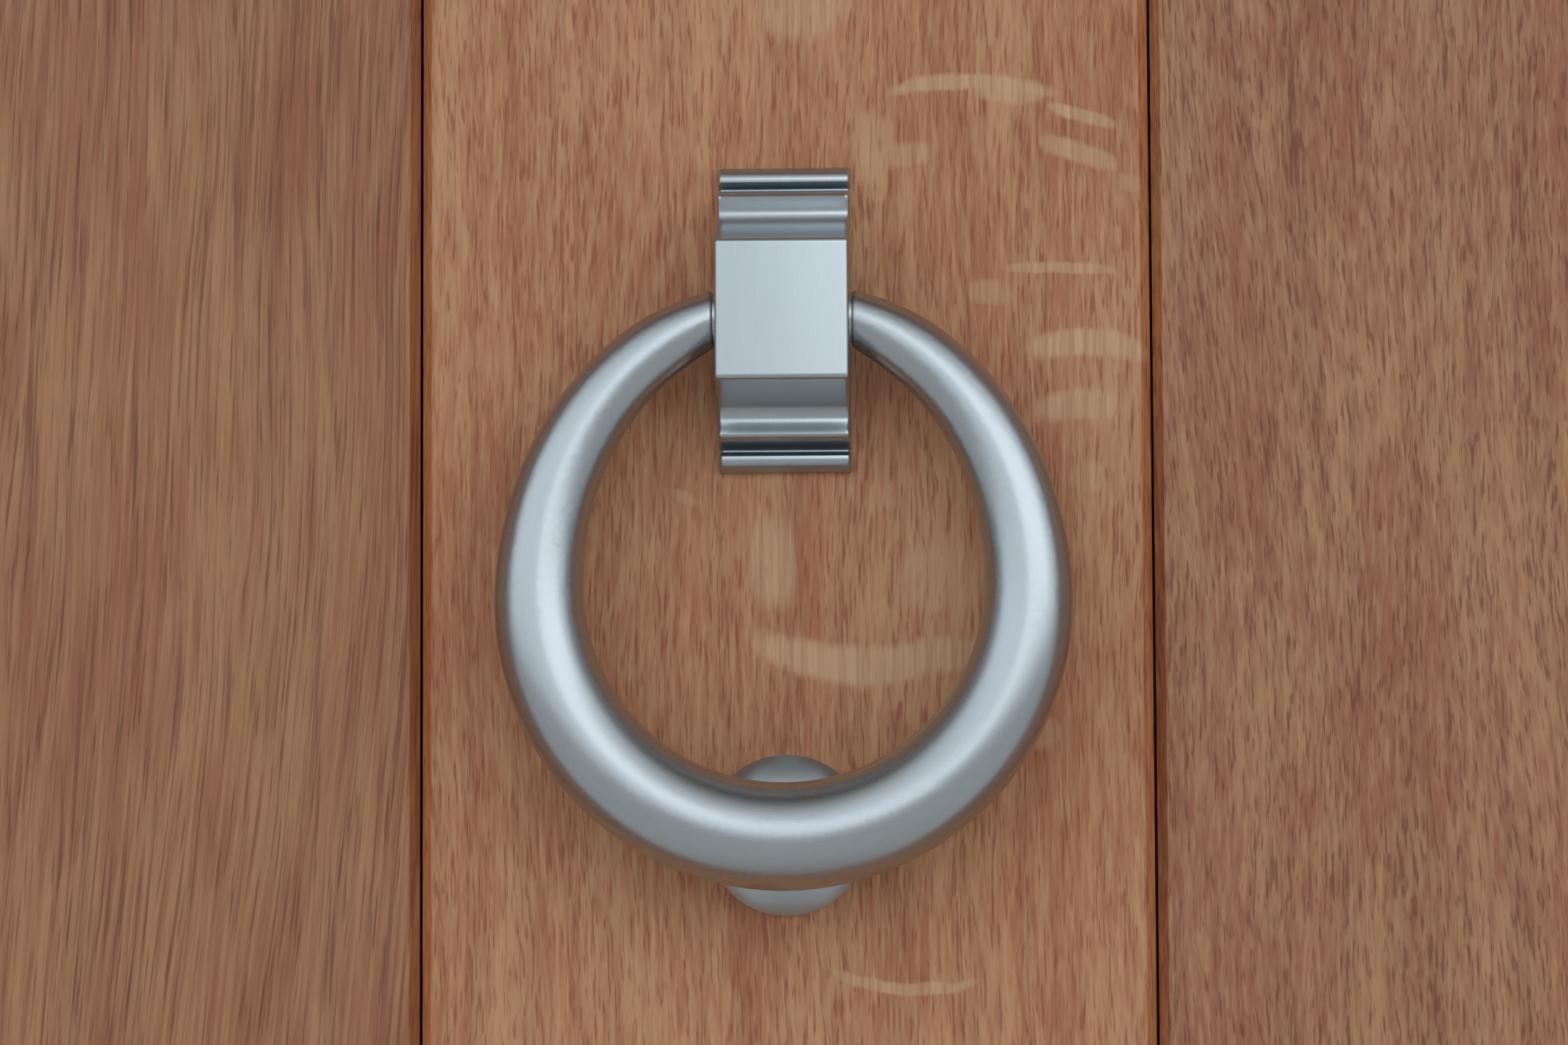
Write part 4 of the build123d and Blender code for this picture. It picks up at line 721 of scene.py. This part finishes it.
def ring_space(tree, centre):
    """Space bent along a ring that stands in the X and Z plane: radius, depth, length of arc."""
    local = vector_maths(tree, "SUBTRACT", millimetre_space(tree), centre)
    parts = add(tree, "ShaderNodeSeparateXYZ", {0: local}).outputs
    x, z = parts["X"], parts["Z"]
    squares = maths(tree, "MULTIPLY_ADD", x, x, maths(tree, "MULTIPLY", z, z))
    radius = maths(tree, "SQRT", squares)
    angle = maths(tree, "ARCTAN2", x, maths(tree, "MULTIPLY", z, -1.0))
    arc = maths(tree, "MULTIPLY", angle, arc_radius)
    return add(tree, "ShaderNodeCombineXYZ", {0: radius, 1: parts["Y"], 2: arc}).outputs[0]


print("ring's middle at", round(ring_middle[2], 1), "mm")

# %% [markdown]
# ## The metals of the door
#
# The knocker, levers and roses share a cool satin steel, and the ring's copy of it is painted a
# little darker, as painted shade. The lever handles and the button were rubbed across, so their
# marks lie level. Hinges and screws are a brighter steel, the lock's inner parts are brass coloured
# metal, its case is painted, and the seals are black rubber.

# %% Metal materials
steel_colour = (0.48, 0.53, 0.56, 1)
# Painted shade: the ring's steel is darker than the same steel elsewhere, so its rims and lower
# side read darker
shaded_ring_colour = (0.46, 0.5, 0.53, 1)


def rubbed_material(name, colour, roughness, spread, relief, metallic=1.0, turn=(0, 0, 0),
                    ring=None):
    """Metal, paint or rubber: one colour, with the fine marks of how it was finished."""
    material, tree, shader = new_material(name)
    space = ring_space(tree, ring) if ring else millimetre_space(tree, turn)
    finish = place_group(tree, brushed, {
        "Vector": space, "Roughness": roughness, "Spread": spread,
    })
    shaded = mix(tree, 1.0, colour, grey(tree, finish["Shade"]), "MULTIPLY")
    feed(tree, shader.inputs["Base Color"], shaded)
    feed(tree, shader.inputs["Roughness"], finish["Roughness"])
    shader.inputs["Metallic"].default_value = metallic
    set_relief(tree, shader, finish["Height"], relief)
    return material


satin_marks = {"roughness": 0.3, "spread": 0.05, "relief": 0.05}
ring_marks = {"roughness": 0.28, "spread": 0.04, "relief": 0.03}
satin_steel = rubbed_material("satin_steel", steel_colour, **satin_marks)
satin_level = rubbed_material("satin_steel_level", steel_colour, turn=lying, **satin_marks)
satin_ring = rubbed_material("satin_steel_ring", shaded_ring_colour, ring=ring_middle, **ring_marks)
print("satin steel:", [material.name for material in (satin_steel, satin_level, satin_ring)])

# %% [markdown]
# The record says which finish each piece has, by the name of its material slot, so most pieces are
# dressed in one loop. The few whose marks run another way are dressed after it.

# %% Dress the metal pieces
# Each finish: colour, roughness, spread, relief, metallic
other_finishes = {
    "bright_steel": ((0.6, 0.6, 0.59, 1), 0.28, 0.05, 0.03, 1.0),
    "lock_metal": ((0.62, 0.53, 0.36, 1), 0.3, 0.05, 0.03, 1.0),
    "lock_paint": ((0.12, 0.12, 0.125, 1), 0.5, 0.1, 0.1, 0.0),
    "seal_rubber": ((0.03, 0.03, 0.032, 1), 0.7, 0.1, 0.2, 0.0),
}
finish_of_slot = {"satin_steel": satin_steel}
for slot, values in other_finishes.items():
    finish_of_slot[slot] = rubbed_material(slot, *values)
for part in frame["record"]["subparts"]:
    if part["material_slot"] in finish_of_slot:
        dress(finish_of_slot[part["material_slot"]], part["node"])
dress(satin_ring, "knocker_ring")
dress(satin_level, "outside_lever", "inside_lever", "striker_button")
print("finishes by slot:", sorted(finish_of_slot))

# %% [markdown]
# ## The knocker's bracket
#
# The real bracket is a casting that was rubbed by hand, so its lips are round and its side edges
# are soft. The CAD solid has much the same shape with crisp edges. A bevel on a copy of it would
# run into trouble in the narrow groove, so a softer bracket is made from a box and stands in its
# place. The box is cut across at the heights where the moulding changes, and cut upright close to
# its sides. Then the front edge of each cut is pushed back: the cuts across to the moulding's
# depth, and the upright ones by a little more, along a quarter circle.

# %% The moulding
# Height from the bracket's middle and depth from the board, in millimetres
moulding = [
    (30.3, 1.3), (30.1, 1.9), (29.7, 2.6), (29.2, 3.2), (28.7, 3.6), (28.2, 3.85), (27.7, 3.95),
    (27.2, 3.85), (26.9, 3.4), (26.1, 0.7), (25.9, 0.7), (25.1, 4.4), (24.85, 6.2), (24.6, 7.6),
    (24.3, 8.8), (23.85, 9.5), (23.35, 9.75), (22.8, 9.6), (22.2, 9.3), (21.6, 9.0), (21.0, 8.8),
    (20.4, 8.7), (19.8, 8.8), (19.2, 9.1), (18.6, 9.5), (18.0, 10.0), (17.4, 10.7), (16.8, 11.6),
    (16.2, 12.7), (15.6, 14.1), (15.1, 15.6), (14.6, 17.4), (14.2, 19.1), (13.95, 20.2),
    (13.8, 21.0), (13.6, 21.55), (13.3, 21.85), (12.9, 22.0), (12.7, 22.0), (12.4, 22.0),
]
side_rounding = 1.0 * MM
side_steps = 5
smooth_angle = math.radians(40)
at_level = 0.01 * MM
off_board = 0.1 * MM
print("cuts across:", 2 * len(moulding), "upright cuts:", 2 * (side_steps + 1))

# %% [markdown]
# Two small helpers do the work in edit mode. Bisect cuts a mesh by a plane, at an exact place and
# without a window. It needs everything selected, and the push afterwards needs only the front edge
# of one cut, so the vertices are picked in code, by their level. A third helper works out where the
# upright cuts lie: they crowd towards the side, as steps of equal angle along a quarter circle do.

# %% Cut and push
def cut(place, normal):
    """Cuts all faces of the mesh in edit mode by a plane."""
    bpy.ops.mesh.select_all(action="SELECT")
    bpy.ops.mesh.bisect(plane_co=place, plane_no=normal)


def push_front(axis, level, distance):
    """Pushes the front edge of one cut back. Axis 0 is an upright cut, axis 2 one across."""
    mesh = bmesh.from_edit_mesh(bpy.context.object.data)
    for vertex in mesh.verts:
        in_cut = abs(vertex.co[axis] - level) < at_level
        vertex.select = in_cut and vertex.co.y < face_y - off_board
    mesh.select_flush_mode()
    bmesh.update_edit_mesh(bpy.context.object.data)
    bpy.ops.transform.translate(value=(0, distance, 0))


def side_columns(middle_x, half_width):
    """Where the upright cuts lie, and how far each is pushed back to round the side edges."""
    columns = []
    for step in range(side_steps + 1):
        turn = quarter * step / side_steps
        inwards = side_rounding * (1 - math.cos(turn))
        backwards = side_rounding * (1 - math.sin(turn))
        columns += [(middle_x + side * (half_width - inwards), backwards) for side in (-1, 1)]
    return columns


print("levels that count as one cut:", at_level / MM, "mm")

# %% [markdown]
# All cuts come before the first push. A cut made later would run through a slope, and its new edge
# would start from the slope's depth.

# %% A softer bracket
def soft_bracket():
    """The knocker's bracket, cut and pushed back from a box."""
    size = bracket_high - bracket_low
    middle = (bracket_low + bracket_high) / 2
    bpy.ops.object.select_all(action="DESELECT")
    bpy.ops.mesh.primitive_cube_add(size=1.0, location=middle, scale=size)
    bracket = bpy.context.object
    bracket.name = "soft_bracket"
    bpy.ops.object.transform_apply(location=True, rotation=True, scale=True)
    rows = [
        (middle.z + side * height * MM, depth * MM)
        for side in (-1, 1) for height, depth in moulding
    ]
    columns = side_columns(middle.x, size.x / 2)
    bpy.ops.object.mode_set(mode="EDIT")
    bpy.ops.mesh.select_mode(type="VERT")
    for level, _ in rows:
        cut((0, 0, level), (0, 0, 1))
    for level, _ in columns:
        cut((level, 0, 0), (1, 0, 0))
    for level, depth in rows:
        push_front(2, level, size.y - depth)
    for level, backwards in columns:
        push_front(0, level, backwards)
    bpy.ops.object.mode_set(mode="OBJECT")
    bpy.ops.object.shade_smooth_by_angle(angle=smooth_angle)
    return bracket


bracket = soft_bracket()
bracket.data.materials.append(satin_steel)
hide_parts("knocker_bracket")
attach(bracket, "leaf")
print("bracket:", len(bracket.data.polygons), "faces")

# %% [markdown]
# ## The floor
#
# The door stands on a plain pale floor, which only keeps its shadow. It is one round face, wide
# enough that its edge lies at the horizon, and it isn't part of the object.

# %% A pale floor
floor_radius = 30.0
floor_corners = 96
floor_drop = 1 * MM
floor_roughness = 0.8
floor_scale = (0.004, 0.004, 0.004)
floor_colours = ((0.74, 0.74, 0.73, 1), (0.78, 0.78, 0.77, 1))


def pale_floor():
    """A round floor, just under the door."""
    bpy.ops.object.select_all(action="DESELECT")
    bpy.ops.mesh.primitive_circle_add(
        vertices=floor_corners, radius=floor_radius, fill_type="NGON",
        location=(0, 0, -floor_drop))
    floor = bpy.context.object
    floor.name = "studio_floor"
    material, tree, shader = new_material("studio_floor")
    spots = noise(tree, millimetre_space(tree), floor_scale, 3.0)
    feed(tree, shader.inputs["Base Color"], mix(tree, spots, *floor_colours))
    shader.inputs["Roughness"].default_value = floor_roughness
    floor.data.materials.append(material)
    return floor


floor = pale_floor()
print("floor:", floor.name, 2 * floor_radius, "m across")

# %% [markdown]
# ## The sky
#
# The photograph was taken under a soft sky: a broad pale band in front of the door, a little above
# the eye, a darker roof overhead, grey ground below and darker ground to the sides. Satin steel
# shows that band as its highlight and the rest as its dark rims, and lamps alone would leave the
# ring looking black and white. So the world is a gradient from straight down to straight up, which
# darkens to the sides.

# %% World
# Each stop: from 0, straight down, to 1, straight up, and its colour
sky_stops = [
    (0.0, (0.4, 0.37, 0.34)), (0.25, (0.42, 0.4, 0.38)), (0.41, (0.54, 0.54, 0.53)),
    (0.5, (0.87, 0.91, 0.94)), (0.57, (1.04, 1.12, 1.17)), (0.69, (1.14, 1.22, 1.28)),
    (0.83, (0.84, 0.89, 0.92)), (0.94, (0.43, 0.42, 0.41)), (1.0, (0.26, 0.25, 0.23)),
]
side_shade = (0.19, 0.17, 0.155, 1)
side_width = 0.5
world = bpy.data.worlds.new("studio")
bpy.context.scene.world = world
world.use_nodes = True
sky_tree = world.node_tree
background = sky_tree.nodes["Background"]
direction = add(sky_tree, "ShaderNodeTexCoord").outputs["Generated"]
sky = add(sky_tree, "ShaderNodeSeparateXYZ", {0: direction}).outputs
height = maths(sky_tree, "MULTIPLY_ADD", sky["Z"], 0.5, 0.5)
ramp = add(sky_tree, "ShaderNodeValToRGB", {0: height})
stops = ramp.color_ramp.elements
stops[0].position = sky_stops[0][0]
stops[1].position = sky_stops[-1][0]
for position, _ in sky_stops[1:-1]:
    stops.new(position)
for element, (_, colour) in zip(stops, sky_stops):
    element.color = (*colour, 1)
ahead = span(sky_tree, maths(sky_tree, "ABSOLUTE", sky["Y"]), 0.0, side_width)
sides = mix(sky_tree, ahead, side_shade, (1, 1, 1, 1))
sky_colour = mix(sky_tree, 1.0, ramp.outputs[0], sides, "MULTIPLY")
feed(sky_tree, background.inputs["Color"], sky_colour)
background.inputs["Strength"].default_value = 1.0
print("sky stops:", len(stops))

# %% [markdown]
# ## The lamps
#
# The sky gives most of the light. One wide soft lamp in front of the door gives it a direction, so
# that round shapes have a lit and a shaded side. The second one does the same for the inside.

# %% Lamps
lamp_aim = Vector((0, 0, 1.4))
lamp_size = (3.6, 1.8)
lamp_power = 12


def soft_lamp(name, place):
    """A wide rectangle of light. The camera doesn't see it."""
    lamp = bpy.data.lights.new(name, "AREA")
    lamp.shape = "RECTANGLE"
    lamp.size, lamp.size_y = lamp_size
    lamp.energy = lamp_power
    holder = bpy.data.objects.new(name, lamp)
    bpy.context.scene.collection.objects.link(holder)
    holder.location = place
    holder.rotation_euler = (lamp_aim - Vector(place)).to_track_quat("-Z", "Y").to_euler()
    holder.visible_camera = False
    return holder


lamps = [soft_lamp("key_outside", (1.5, -3.0, 2.6)), soft_lamp("key_inside", (-1.5, 3.0, 2.6))]
print("lamps:", [lamp.name for lamp in lamps])

# %% [markdown]
# ## Camera
#
# The photograph looks at the knocker nearly square on, from 0.8 m away, a little from below and
# from the right. These numbers were found by laying the ring, the bracket and the joints of the
# boards over the photograph until they met. A camera can be turned by three angles, but a small
# roll is easier to see when its three directions are written out: forward, right and up.

# %% Camera
photo_distance = 0.8
photo_width = 0.31006
sensor_width = 36.0
look_up = math.radians(3.65)
look_left = math.radians(1.9)
roll = math.radians(-0.255)
target = Vector((-0.39 * MM, face_y, bracket_z - 40.1 * MM))

forward = Vector((
    -math.sin(look_left) * math.cos(look_up),
    math.cos(look_left) * math.cos(look_up),
    math.sin(look_up),
))
level_right = Vector((math.cos(look_left), math.sin(look_left), 0))
level_up = level_right.cross(forward)
right = level_right * math.cos(roll) + level_up * math.sin(roll)
up = level_up * math.cos(roll) - level_right * math.sin(roll)

camera_data = bpy.data.cameras.new("photo_view")
camera_data.sensor_width = sensor_width
camera_data.lens = sensor_width * photo_distance / photo_width
camera = bpy.data.objects.new("photo_view", camera_data)
bpy.context.scene.collection.objects.link(camera)
turn = Matrix((right, up, -forward)).transposed().to_4x4()
camera.matrix_world = Matrix.Translation(target - forward * photo_distance) @ turn
bpy.context.scene.camera = camera
bpy.context.scene.view_settings.view_transform = "Standard"
print("camera at", [round(v, 4) for v in camera.location], "lens", round(camera_data.lens, 2))
